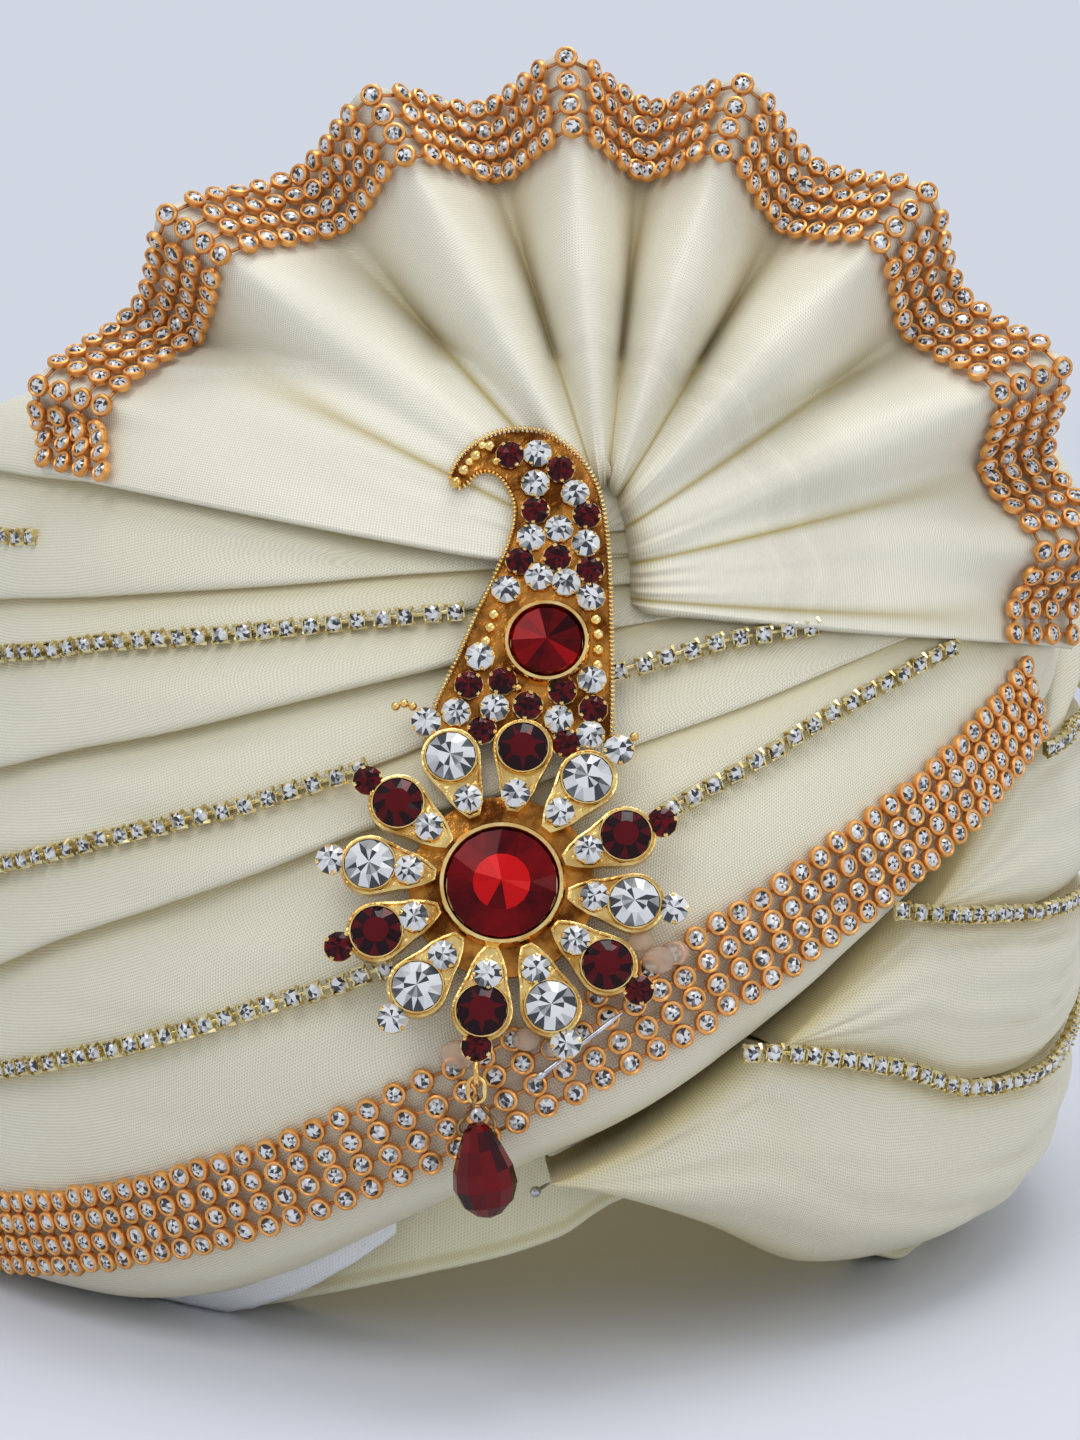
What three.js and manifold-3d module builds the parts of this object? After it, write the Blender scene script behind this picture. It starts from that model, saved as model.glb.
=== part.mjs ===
// A tied turban: a hard domed cap with cloth wound over it in a pleated swath and four rolls, a pleated fan
// crest edged with a bead band, cup chains laid in the folds, and a jewelled brooch with a hanging drop.
// Millimetres, +Z up. The front faces -Y and the origin is under the middle of the turban, on the table.

import * as THREE from "three";
import { mergeVertices } from "three/addons/utils/BufferGeometryUtils.js";
import Module from "manifold-3d";

const GAP = 0.3;
const TURN = 360;

// Cap and head opening, as half-lengths of an ellipse.
const CAP_INNER = { x: 79, y: 97 };
const CAP_WALL = 3;
const CAP_STRAIGHT = 95;
const CAP_DOME_RISE = 55;

// A stiff covered band round the cap, which the folds are laid against, and the crown set in their upper rims.
const CORE_WALL = 7;
const CORE_TOP = 100;
const CORE = { x: CAP_INNER.x + CAP_WALL + GAP + CORE_WALL, y: CAP_INNER.y + CAP_WALL + GAP + CORE_WALL };
const CROWN = { x: 74, front: 68, back: 88, low: 150 };
const FOLD_GAP = 1.2;
const RIM_TOP = 163;
const ARCH_STEPS = 32;
const BAND_ARCH = [
  { at: -180, z: 0 }, { at: -36, z: 0 }, { at: -33.5, z: 0.5 }, { at: -23.8, z: 5 }, { at: -12.3, z: 10.4 },
  { at: 5, z: 18.1 }, { at: 12, z: 24.3 }, { at: 22, z: 28 }, { at: 34, z: 20 }, { at: 50, z: 4 },
  { at: 58, z: 0 }, { at: 180, z: 0 },
];

// The outside of the wound cloth. Angles run from the front towards the wearer's left, which is +X.
const SKIN = [
  { z: 0, left: 118, right: 92, front: 114, back: 112 },
  { z: 6, left: 122, right: 102, front: 120, back: 118 },
  { z: 16, left: 123, right: 110, front: 126, back: 123 },
  { z: 32, left: 122, right: 114, front: 130, back: 127 },
  { z: 56, left: 121, right: 117, front: 132, back: 130 },
  { z: 80, left: 120, right: 118, front: 127, back: 131 },
  { z: 105, left: 118, right: 118, front: 117, back: 131 },
  { z: 126, left: 117, right: 117, front: 107.5, back: 130 },
  { z: 145, left: 114, right: 114, front: 98.5, back: 126 },
  { z: 158, left: 108, right: 108, front: 91, back: 120 },
  { z: 166, left: 99, right: 99, front: 84, back: 111 },
  { z: 171, left: 86, right: 86, front: 76, back: 97 },
];

// Heights of the swath's pleat lines at each angle, from its lower edge to its top rim.
const SWATH = [
  { at: -147, edge: 0.6, band: 10, third: 31, c: 49, second: 66, b: 85, first: 106, a: 119, fold: 146, top: 165 },
  { at: -110, edge: 0, band: 10, third: 31, c: 50, second: 67, b: 86, first: 108, a: 121, fold: 149, top: 165 },
  { at: -80, edge: 0, band: 10, third: 33, c: 53, second: 70, b: 89, first: 111, a: 123, fold: 150, top: 165 },
  { at: -60, edge: 0, band: 10.6, third: 38, c: 60, second: 75, b: 94, first: 115, a: 125.5, fold: 150, top: 165 },
  { at: -50, edge: 0, band: 12.8, third: 42.8, c: 66, second: 79.6, b: 97.4, first: 117, a: 127, fold: 149, top: 165 },
  { at: -40, edge: 1, band: 17.3, third: 48.5, c: 73.5, second: 84.6, b: 102, first: 119.3, a: 128, fold: 148, top: 165 },
  { at: -30, edge: 4.5, band: 23.5, third: 55, c: 80, second: 90.2, b: 106, first: 121.4, a: 129.5, fold: 146, top: 165 },
  { at: -20, edge: 12.7, band: 31.6, third: 62.6, c: 87, second: 96, b: 111, first: 123.4, a: 131, fold: 143, top: 165 },
  { at: -10, edge: 24, band: 41.3, third: 69.9, c: 93, second: 102.6, b: 116, first: 125.7, a: 132.8, fold: 139, top: 165 },
  { at: 0, edge: 34.3, band: 52, third: 81, c: 98, second: 111, b: 120.5, first: 128, a: 134, fold: 139, top: 165 },
  { at: 10, edge: 42.8, band: 62, third: 92, c: 104.5, second: 117.5, b: 124, first: 131, a: 135.5, fold: 140, top: 165 },
  { at: 20, edge: 55, band: 72.6, third: 101.7, c: 111, second: 122, b: 127, first: 132, a: 136.5, fold: 141, top: 165 },
  { at: 30, edge: 68, band: 83.3, third: 111.6, c: 117.5, second: 124.5, b: 129, first: 133, a: 137, fold: 142, top: 165 },
  { at: 40, edge: 81, band: 93.7, third: 118.6, c: 122.5, second: 127, b: 131, first: 135, a: 139, fold: 143, top: 165 },
  { at: 50, edge: 96, band: 105.8, third: 121.5, c: 125, second: 129, b: 133, first: 137, a: 141, fold: 145, top: 165 },
  { at: 60, edge: 112.5, band: 118.5, third: 123, c: 127, second: 131, b: 135, first: 139, a: 143, fold: 148, top: 165 },
  { at: 65, edge: 134, band: 138, third: 141, c: 144, second: 147, b: 150, first: 153, a: 156, fold: 159, top: 165 },
  { at: 70, edge: 158, band: 159, third: 159.8, c: 160.5, second: 161.2, b: 162, first: 162.8, a: 163.5, fold: 164.2,
    top: 165 },
];
const PLEAT_LINES = ["edge", "band", "third", "c", "second", "b", "first", "a", "fold", "top"];

// Heights of the grooves between the rolls on the other side, and of the lowest roll's underside.
const GROOVES = [
  { at: 0, low: 36, third: 57, second: 88, first: 110 },
  { at: 4, low: 33.5, third: 56.5, second: 86, first: 108 },
  { at: 10, low: 29, third: 56, second: 84, first: 106 },
  { at: 19, low: 22, third: 55.5, second: 81, first: 103 },
  { at: 33, low: 10, third: 49.6, second: 76, first: 99 },
  { at: 46, low: 6, third: 41, second: 72, first: 98 },
  { at: 60, low: 3.5, third: 38.2, second: 69, first: 100.5 },
  { at: 75, low: 1.5, third: 42.5, second: 68.5, first: 103 },
  { at: 95, low: 0, third: 44, second: 72, first: 106 },
  { at: 150, low: 0, third: 43, second: 78, first: 114 },
  { at: 213, low: 0, third: 40, second: 80, first: 120 },
];
const SWATH_FROM = -147;
const SWATH_TO = 69.5;
const SWATH_STOPS = [...range(SWATH_FROM, -60, 6), ...range(-48, 56, 13), 60, 63, 66, SWATH_TO];
const ROLL_END = TURN + SWATH_FROM - 1;

// Fan crest: ridge angles from upright, clockwise from the front, with the rim's distance from the hub.
const FAN_HUB = { x: 16, y: -103.5, z: 130 };
const FAN_RIM = [
  { ridge: -92, radius: 110 },
  { ridge: -71, radius: 109 },
  { ridge: -50, radius: 103 },
  { ridge: -25.5, radius: 97 },
  { ridge: -4, radius: 94 },
  { ridge: 16, radius: 92.7 },
  { ridge: 40, radius: 91 },
  { ridge: 65, radius: 92 },
  { ridge: 86, radius: 93.5 },
  { ridge: 104, radius: 94 },
];
const FAN_FROM = -79;
const FAN_TO = 98.2;
const FAN_VALLEY_DROP = 6;
const FAN_LEAN = 0.44;
const FAN_WAVE = 0.125;
const FAN_CLOTH = 2.4;
const FAN_START = 9;

// Bead band: four rows of domed cups.
const BAND_WIDTH = 16.8;
const BAND_THICK = 2.6;
const CHAIN_WIDE = 3.2;

// Cup chains on the swath, each along one pleat line or above it, and in the grooves of the rolls.
const SWATH_CHAINS = [
  { name: "chain_top_left", line: "a", above: 12.5, sink: 0, from: -120, to: -48 },
  { name: "chain_first_left", line: "first", above: 0, sink: 0.7, from: -120, to: -4.5 },
  { name: "chain_second_left", line: "second", above: 0, sink: 0, from: -120, to: -11.8 },
  { name: "chain_second_right", line: "second", above: 0, sink: 0, from: 7, to: 25.5 },
  { name: "chain_third_left", line: "third", above: 0, sink: 0, from: -120, to: -9.5 },
  { name: "chain_third_right", line: "third", above: 0, sink: 0.5, from: 13, to: 40.5 },
];
const GROOVE_CHAINS = [
  { name: "chain_groove_first", line: "first", from: 54.8, to: 120 },
  { name: "chain_groove_second", line: "second", from: 33.6, to: 120 },
  { name: "chain_groove_third", line: "third", from: 19.5, to: 120 },
];

// Brooch: its plane leans back, and its places are measured across and up from the flower's centre.
const BROOCH = { x: -1.2, y: -127.3, z: 83, lean: 23 };
const PLATE = 1.3;
const CENTRE_STONE = 8.85;
const CENTRE_BEZEL = 10.4;
const PETALS = 12;
const FIRST_PETAL = 8.4;
const PETAL_STONE = { at: 21.7, stone: 3.9, bezel: 4.7 };
const INNER_STONE = { at: 15.2, radius: 2.35 };
const TIP_STONE = { at: 28.1, radius: 2.4 };
const DROP_PETAL = { index: 6, stone: 21.1, tip: 26.9 };
const PAISLEY_STONE = { across: 7.3, up: 41.5, stone: 5.9, bezel: 7.4 };
const PAISLEY_SMALL = [
  { across: 1.1, up: 75.1 }, { across: 5.8, up: 75.4 }, { across: 9.7, up: 72.5 }, { across: 5.4, up: 69.9 },
  { across: 12.2, up: 68.1 }, { across: 5.4, up: 65 }, { across: 14.1, up: 64.1 }, { across: 9.4, up: 61.7 },
  { across: 4.7, up: 60.1 }, { across: 13.9, up: 59.1 }, { across: 2.8, up: 55.9 }, { across: 9.1, up: 56.5 },
  { across: 14.6, up: 54.3 }, { across: 6.0, up: 53.1 }, { across: 10.6, up: 52.1 }, { across: 0.5, up: 50.9 },
  { across: 14.7, up: 49.5 }, { across: -3.8, up: 39 }, { across: -5.6, up: 34 }, { across: 0.0, up: 34.7 },
  { across: 14.8, up: 35 }, { across: 9.9, up: 33 }, { across: -7.7, up: 29.3 }, { across: -1.3, up: 30.1 },
  { across: 9.3, up: 28.1 }, { across: 15.0, up: 29.8 },
];
const PAISLEY_RADIUS = 2.25;
const PAISLEY_OUTLINE = [
  { across: 17.8, up: 24.5 }, { across: 17.9, up: 40.9 }, { across: 17.6, up: 55.2 }, { across: 16.6, up: 65.9 },
  { across: 14.2, up: 72.6 }, { across: 10.8, up: 76.7 }, { across: 6.5, up: 79.3 }, { across: 1.6, up: 79.7 },
  { across: -3, up: 78.3 }, { across: -7, up: 75 }, { across: -8.8, up: 70.9 }, { across: -7.2, up: 69.5 },
  { across: -4.4, up: 72.2 }, { across: -1.6, up: 72.2 }, { across: 0.6, up: 70.1 }, { across: 2.2, up: 65.8 },
  { across: 1.4, up: 59.9 }, { across: -1.4, up: 52.7 }, { across: -4.6, up: 45.6 }, { across: -7.4, up: 38.4 },
  { across: -10.6, up: 31.3 }, { across: -12.4, up: 24.5 },
];

// Drop and its link, hung from the loop at the lowest petal.
const LOOP = { radius: 1.9, wire: 0.45 };
const LINK = { wide: 3.4, tall: 4.9, wire: 0.45 };
const BAIL_WIRE = 0.36;
const WIRE_PLAY = 0.22;
const BAIL_PLAY = 0.4;
const DROP = { length: 15.4, radius: 5.2, belowHinge: 2.2 };

const CREAM = { color: 0xeee9cf, roughness: 0.55, metalness: 0 };
const SATIN = { color: 0xf3efd9, roughness: 0.42, metalness: 0 };
const OLIVE_LINING = { color: 0xd9d5b5, roughness: 0.7, metalness: 0 };
const WHITE = { color: 0xf4f4f2, roughness: 0.8, metalness: 0 };
const COPPER = { color: 0xb56a2b, roughness: 0.35, metalness: 0.8 };
const PALE_GOLD = { color: 0xd8c37a, roughness: 0.3, metalness: 0.8 };
const GOLD = { color: 0xd9a13a, roughness: 0.25, metalness: 0.9 };
const BRONZE = { color: 0x6b4f2a, roughness: 0.4, metalness: 0.8 };
const STEEL = { color: 0xb9bcc0, roughness: 0.25, metalness: 0.9 };
const RED_GLASS = { color: 0x6b0712, roughness: 0.05, metalness: 0 };
const CLEAR_GLASS = { color: 0xdfe6ea, roughness: 0.03, metalness: 0 };

const wasm = await Module();
wasm.setup();

const turban = new THREE.Group();
turban.name = "turban";

const radians = (degrees) => THREE.MathUtils.degToRad(degrees);

// A smooth curve through one column of a table, that doesn't overshoot between its rows.
function through(rows, key, column) {
  const x = rows.map((row) => row[key]);
  const y = rows.map((row) => row[column]);
  const slope = x.slice(1).map((value, i) => (y[i + 1] - y[i]) / (value - x[i]));
  const tangent = y.map((value, i) => {
    if (i === 0) return slope[0];
    if (i === y.length - 1) return slope[i - 1];
    if (slope[i - 1] * slope[i] <= 0) return 0;
    return (2 * slope[i - 1] * slope[i]) / (slope[i - 1] + slope[i]);
  });
  return (at) => {
    const clamped = THREE.MathUtils.clamp(at, x[0], x[x.length - 1]);
    const i = Math.max(0, Math.min(x.length - 2, x.findIndex((value) => value > clamped) - 1));
    const k = clamped >= x[x.length - 1] ? x.length - 2 : i;
    const width = x[k + 1] - x[k];
    const t = (clamped - x[k]) / width;
    const u = 1 - t;
    return (
      y[k] * u * u * (1 + 2 * t) +
      y[k + 1] * t * t * (3 - 2 * t) +
      tangent[k] * width * t * u * u -
      tangent[k + 1] * width * t * t * u
    );
  };
}

const skinSide = { left: through(SKIN, "z", "left"), right: through(SKIN, "z", "right") };
const skinFront = through(SKIN, "z", "front");
const skinBack = through(SKIN, "z", "back");
const pleat = Object.fromEntries(PLEAT_LINES.map((line) => [line, through(SWATH, "at", line)]));
const groove = Object.fromEntries(
  ["low", "third", "second", "first"].map((line) => [line, through(GROOVES, "at", line)]),
);
const rimRadius = through(FAN_RIM, "ridge", "radius");
const archHeight = through(BAND_ARCH, "at", "z");

// A point on the outside at an angle and height, moved outwards by lift.
function skinPoint(angle, z, lift = 0) {
  const s = Math.sin(radians(angle));
  const c = Math.cos(radians(angle));
  const side = s > 0 ? skinSide.right(z) : skinSide.left(z);
  const depth = c > 0 ? skinFront(z) : skinBack(z);
  return new THREE.Vector3((side + lift) * s, -(depth + lift) * c, z);
}

// A point on the band of stiff cloth round the cap, which every fold is laid against.
function corePoint(angle, z, lift = 0) {
  const s = Math.sin(radians(angle));
  const c = Math.cos(radians(angle));
  return new THREE.Vector3((CORE.x + lift) * s, -(CORE.y + lift) * c, z);
}

// The inner side of the folds: up the band, and in to the rim of the crown.
function innerPoint(angle, z) {
  const core = corePoint(angle, z, FOLD_GAP);
  const rim = crownRim(angle, FOLD_GAP);
  const bend = CORE_TOP + 8;
  const share = THREE.MathUtils.clamp((z - bend) / (CROWN.low - bend), 0, 1);
  return new THREE.Vector3(core.x + (rim.x - core.x) * share, core.y + (rim.y - core.y) * share, z);
}

// A point that would fall inside the band is brought out to it.
function clearOfCore(point, angle) {
  const inside = Math.hypot(point.x / (CORE.x + 2), point.y / (CORE.y + 2)) < 1 && point.z < CORE_TOP;
  return inside ? corePoint(angle, point.z, 2) : point;
}

function crownRim(angle, lift = 0) {
  const s = Math.sin(radians(angle));
  const c = Math.cos(radians(angle));
  const depth = c > 0 ? CROWN.front : CROWN.back;
  return new THREE.Vector3((CROWN.x + lift) * s, -(depth + lift) * c, 0);
}

// One closed body from triangles, with shared corners merged and its faces turned outwards.
function closedGeometry(positions, indices) {
  const loose = new THREE.BufferGeometry();
  loose.setAttribute("position", new THREE.Float32BufferAttribute(positions, 3));
  loose.setIndex(indices);
  return tidyGeometry(loose);
}

// Shared corners merged, empty triangles left out, and all faces turned outwards.
function tidyGeometry(source) {
  const bare = new THREE.BufferGeometry();
  bare.setAttribute("position", source.getAttribute("position"));
  bare.setIndex(source.index);
  const merged = mergeVertices(bare, 1e-3);
  const corners = merged.index.array;
  const kept = [];
  for (let i = 0; i < corners.length; i += 3) {
    const [a, b, c] = [corners[i], corners[i + 1], corners[i + 2]];
    if (a !== b && b !== c && c !== a) kept.push(a, b, c);
  }
  merged.setIndex(kept);
  if (signedVolume(merged) < 0) {
    for (let i = 0; i < kept.length; i += 3) [kept[i + 1], kept[i + 2]] = [kept[i + 2], kept[i + 1]];
    merged.setIndex(kept);
  }
  return merged;
}

function signedVolume(geometry) {
  const p = geometry.getAttribute("position");
  const [a, b, c] = [new THREE.Vector3(), new THREE.Vector3(), new THREE.Vector3()];
  let six = 0;
  for (let i = 0; i < geometry.index.count; i += 3) {
    a.fromBufferAttribute(p, geometry.index.getX(i));
    b.fromBufferAttribute(p, geometry.index.getX(i + 1));
    c.fromBufferAttribute(p, geometry.index.getX(i + 2));
    six += a.dot(b.cross(c));
  }
  return six / 6;
}

// A body lofted through rings of points. An open one is capped at both ends.
function loft(rings, closed = false) {
  const size = rings[0].length;
  const positions = rings.flat().flatMap((p) => [p.x, p.y, p.z]);
  const indices = [];
  const last = closed ? rings.length : rings.length - 1;
  for (let i = 0; i < last; i++) {
    for (let j = 0; j < size; j++) {
      const next = (i + 1) % rings.length;
      const beside = (j + 1) % size;
      const [a, b] = [i * size + j, i * size + beside];
      const [c, d] = [next * size + j, next * size + beside];
      indices.push(a, b, d, a, d, c);
    }
  }
  if (!closed) {
    capRing(rings[0]).forEach(([a, b, c]) => indices.push(a, c, b));
    const start = (rings.length - 1) * size;
    capRing(rings[rings.length - 1]).forEach(([a, b, c]) => indices.push(start + a, start + b, start + c));
  }
  return closedGeometry(positions, indices);
}

// Triangles over a nearly flat ring, in the ring's own order.
function capRing(ring) {
  const normal = new THREE.Vector3();
  ring.forEach((p, i) => {
    const q = ring[(i + 1) % ring.length];
    normal.x += (p.y - q.y) * (p.z + q.z);
    normal.y += (p.z - q.z) * (p.x + q.x);
    normal.z += (p.x - q.x) * (p.y + q.y);
  });
  normal.normalize();
  const u = Math.abs(normal.z) < 0.9 ? new THREE.Vector3(0, 0, 1) : new THREE.Vector3(1, 0, 0);
  u.addScaledVector(normal, -u.dot(normal)).normalize();
  const v = normal.clone().cross(u);
  const flat = ring.map((p) => new THREE.Vector2(p.dot(u), p.dot(v)));
  return THREE.ShapeUtils.triangulateShape(flat, []);
}

// A sheet between two grids of points of one size. Both its sides are cut into triangles the same way.
function sheet(outer, inner) {
  const [rows, columns] = [outer.length, outer[0].length];
  const rings = [];
  for (let i = 0; i < rows; i++) rings.push([...outer[i], ...inner[i].slice().reverse()]);
  const positions = rings.flat().flatMap((p) => [p.x, p.y, p.z]);
  const size = 2 * columns;
  const indices = [];
  for (let i = 0; i < rows - 1; i++) {
    for (let j = 0; j < size; j++) {
      const beside = (j + 1) % size;
      const [a, b] = [i * size + j, i * size + beside];
      if (j < columns) indices.push(a, b, b + size, a, b + size, a + size);
      else indices.push(a, b, a + size, b, b + size, a + size);
    }
  }
  for (let j = 0; j < columns - 1; j++) {
    const [a, b, c, d] = [j, j + 1, size - 1 - j, size - 2 - j];
    indices.push(a, d, b, a, c, d);
    const end = (rows - 1) * size;
    indices.push(end + a, end + b, end + d, end + a, end + d, end + c);
  }
  return closedGeometry(positions, indices);
}

function range(from, to, count) {
  return Array.from({ length: count + 1 }, (_, i) => from + ((to - from) * i) / count);
}

function solid(geometry) {
  const ready = tidyGeometry(geometry);
  return new wasm.Manifold(
    new wasm.Mesh({
      numProp: 3,
      vertProperties: new Float32Array(ready.getAttribute("position").array),
      triVerts: new Uint32Array(ready.index.array),
    }),
  );
}

function fromSolid(made) {
  const mesh = made.getMesh();
  const geometry = new THREE.BufferGeometry();
  geometry.setAttribute("position", new THREE.BufferAttribute(mesh.vertProperties, 3));
  geometry.setIndex(new THREE.BufferAttribute(mesh.triVerts, 1));
  return geometry;
}

function joined(geometries) {
  return fromSolid(geometries.map(solid).reduce((whole, piece) => whole.add(piece)));
}

function add(name, geometry, look, parent = turban) {
  const mesh = new THREE.Mesh(geometry, new THREE.MeshStandardMaterial(look));
  mesh.name = name;
  parent.add(mesh);
  return mesh;
}

// Cap: a dome of even wall, open below for the head.
function makeCap() {
  const wall = (inset) => [
    [CAP_INNER.x + CAP_WALL - inset, 0],
    [CAP_INNER.x + CAP_WALL - inset, CAP_STRAIGHT],
    ...range(18, 90, 4).map((degrees) => [
      (CAP_INNER.x + CAP_WALL - inset) * Math.cos(radians(degrees)),
      CAP_STRAIGHT + (CAP_DOME_RISE - inset) * Math.sin(radians(degrees)),
    ]),
  ];
  const profile = [...wall(CAP_WALL).reverse(), ...wall(0)].map(([r, z]) => new THREE.Vector2(Math.max(r, 0), z));
  profile[0].x = 0;
  profile[profile.length - 1].x = 0;
  const cap = tidyGeometry(new THREE.LatheGeometry(profile, ARCH_STEPS).rotateX(Math.PI / 2));
  const p = cap.getAttribute("position");
  for (let i = 0; i < p.count; i++) {
    const angle = THREE.MathUtils.radToDeg(Math.atan2(p.getX(i), -p.getY(i)));
    const rise = p.getZ(i) < 1 ? archHeight(angle) * CAP_ARCH_RISE : 0;
    p.setZ(i, p.getZ(i) + rise);
  }
  cap.scale(1, (CAP_INNER.y + CAP_WALL) / (CAP_INNER.x + CAP_WALL), 1);
  add("cap", cap, OLIVE_LINING);
}

// Inner band: its lower edge, and the cap's, are raised in an arch over the brow.
const CAP_ARCH_RISE = 1.15;

function makeInnerBand() {
  const steps = range(-180, 180, ARCH_STEPS).slice(0, ARCH_STEPS);
  const angles = [...steps, -33.5, -31.5].sort((a, b) => a - b);
  const rings = angles.map((angle) => [
    corePoint(angle, archHeight(angle), -CORE_WALL),
    corePoint(angle, archHeight(angle)),
    corePoint(angle, CORE_TOP),
    corePoint(angle, CORE_TOP, -CORE_WALL),
  ]);
  add("inner_band", loft(rings, true), OLIVE_LINING);
}

// How far a fold stands out, across its width from 0 to 1, from a rounded lower edge to a rounded upper one.
function bulge(across, lowDepth, highDepth) {
  const side = 2 * across - 1;
  const depth = side < 0 ? lowDepth : highDepth;
  return -depth * (1 - Math.sqrt(Math.max(0, 1 - Math.abs(side) ** 2.6)));
}

// The fan is gathered into a dimple round its hub.
function hubDimple(point) {
  const far = Math.hypot(point.x - FAN_HUB.x, (point.z - FAN_HUB.z) * 0.8);
  return point.y < 0 ? -5 * Math.exp(-((far / 20) ** 2)) : 0;
}

// How proud each pleat of the swath stands, and how deep its crease is on each side.
const PLEAT_DEPTH = 2.2;
const EDGE_DEPTH = 9;

function swathLift(part, across) {
  const low = part === 0 ? EDGE_DEPTH : PLEAT_DEPTH;
  const high = part === PLEAT_LINES.length - 2 ? 5 : PLEAT_DEPTH;
  const lift = bulge(across, low, high);
  return part === 0 && across > 0.5 ? lift * 0.3 : lift;
}

function swathPoint(angle, part, across, lift = 0) {
  const low = pleat[PLEAT_LINES[part]](angle);
  const high = pleat[PLEAT_LINES[part + 1]](angle);
  const z = low + (high - low) * across;
  const plain = skinPoint(angle, z);
  const width = Math.min(1, (high - low) / 9);
  return skinPoint(angle, z, lift + swathLift(part, across) * width + hubDimple(plain));
}

function makeSwath() {
  const pieces = PLEAT_LINES.length - 1;
  const rings = SWATH_STOPS.map((angle) => {
    const ring = [];
    for (let part = 0; part < pieces; part++) {
      const narrow = part > 4;
      const steps = part === 0 ? [0, 0.12, 0.45] : narrow ? [0, 0.4] : [0, 0.22, 0.6];
      steps.forEach((across) => ring.push(swathPoint(angle, part, across)));
    }
    ring.push(swathPoint(angle, pieces - 1, 1));
    const edge = pleat.edge(angle);
    const heights = [RIM_TOP, Math.max(CROWN.low, edge + 3), Math.max(CORE_TOP, edge + 2.5), edge + 1.5];
    heights.forEach((z) => ring.push(innerPoint(angle, z)));
    return ring;
  });
  add("front_swath", loft(rings), CREAM);
}

// Rolls: from under the swath's edge round to the back, between one groove and the next.
const ROLLS = [
  { name: "roll_bottom", low: "low", high: "third", from: 3.5, under: 14 },
  { name: "roll_lower", low: "third", high: "second", from: 23, under: 7 },
  { name: "roll_upper", low: "second", high: "first", from: 38, under: 7 },
  { name: "roll_top", low: "first", high: "top", from: 55, under: 7 },
];
const ROLL_GAP = 0.4;
const UNDER_SWATH = 3.2;

// The height of the swath's lower edge, straight between the angles at which it is lofted.
function swathEdge(angle) {
  const next = Math.max(1, SWATH_STOPS.findIndex((stop) => stop >= angle));
  const [from, to] = [SWATH_STOPS[next - 1], SWATH_STOPS[next]];
  return THREE.MathUtils.lerp(pleat.edge(from), pleat.edge(to), (angle - from) / (to - from));
}

function rollSpan(roll, angle) {
  const low = groove[roll.low](angle) + (roll.low === "low" ? 0 : ROLL_GAP / 2);
  const high = roll.high === "top" ? 165 : groove[roll.high](angle) - ROLL_GAP / 2;
  const swath = angle <= SWATH_TO ? swathEdge(angle) - UNDER_SWATH : 165;
  return { low, high: Math.max(low + 0.6, Math.min(high, swath)) };
}

function rollPoint(roll, angle, across, lift = 0) {
  const { low, high } = rollSpan(roll, angle);
  const shallow = Math.min(1, (high - low) / 22);
  const out = bulge(across, roll.under * (roll.low === "low" ? 1 : shallow), 7 * shallow);
  const z = low + (high - low) * across;
  return clearOfCore(skinPoint(angle, z, out + lift), angle);
}

function makeRolls() {
  ROLLS.forEach((roll) => {
    const shared = SWATH_STOPS.filter((angle) => angle > roll.from + 1);
    const angles = [roll.from, ...shared, ...range(SWATH_TO + 1.5, ROLL_END, 10)];
    const rings = angles.map((angle) => {
      const ring = [0, 0.07, 0.25, 0.65, 0.92, 1].map((across) => rollPoint(roll, angle, across));
      const { low, high } = rollSpan(roll, angle);
      const inset = Math.min(1.5, (high - low) / 4);
      const bend = high > CROWN.low + 2 ? CROWN.low : CORE_TOP + 1;
      const middle = THREE.MathUtils.clamp(bend, low + inset + 0.1, high - inset - 0.1);
      [high - inset, middle, low + inset].forEach((z) => ring.push(innerPoint(angle, z)));
      return ring;
    });
    add(roll.name, loft(rings), CREAM);
  });
}

// Crown top: a shallow dome with soft gathers, set inside the rims of the folds.
function makeCrownTop() {
  const profile = [
    [0, 176], [30, 174.5], [54, 170], [67, 165], [73, 159], [74, 153],
    [70, 150.2], [50, 151.4], [0, 151.8],
  ].map(([r, z]) => new THREE.Vector2(r, z));
  const dome = tidyGeometry(new THREE.LatheGeometry(profile.reverse(), 24).rotateX(Math.PI / 2));
  const p = dome.getAttribute("position");
  for (let i = 0; i < p.count; i++) {
    const angle = Math.atan2(p.getX(i), -p.getY(i));
    const far = Math.hypot(p.getX(i), p.getY(i)) / CROWN.x;
    const scale = (p.getY(i) < 0 ? CROWN.front : CROWN.back) / CROWN.x;
    const gathers = p.getZ(i) > 160 ? 1.2 * far * Math.sin(10 * angle) : 0;
    p.setXYZ(i, p.getX(i), p.getY(i) * scale, p.getZ(i) + gathers);
  }
  add("crown_top", dome, CREAM);
}

// Interlining: the cut white edge that shows under the swath beside the arch.
function makeInterlining() {
  const rows = range(-36.5, -10, 9).map((angle) => {
    const top = pleat.edge(angle) - 1;
    const hang = 0.4 + 4.2 * Math.sin(((angle + 37.5) / 28) * Math.PI) ** 0.6 * Math.min(1, top / 4);
    const low = Math.max(0, top - hang);
    const lift = -EDGE_DEPTH - 1.5;
    return {
      outer: [skinPoint(angle, top, lift), skinPoint(angle, low, lift)],
      inner: [skinPoint(angle, top, lift - 1), skinPoint(angle, low, lift - 1)],
    };
  });
  add("interlining_edge", sheet(rows.map((r) => r.outer), rows.map((r) => r.inner)), WHITE);
}

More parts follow.
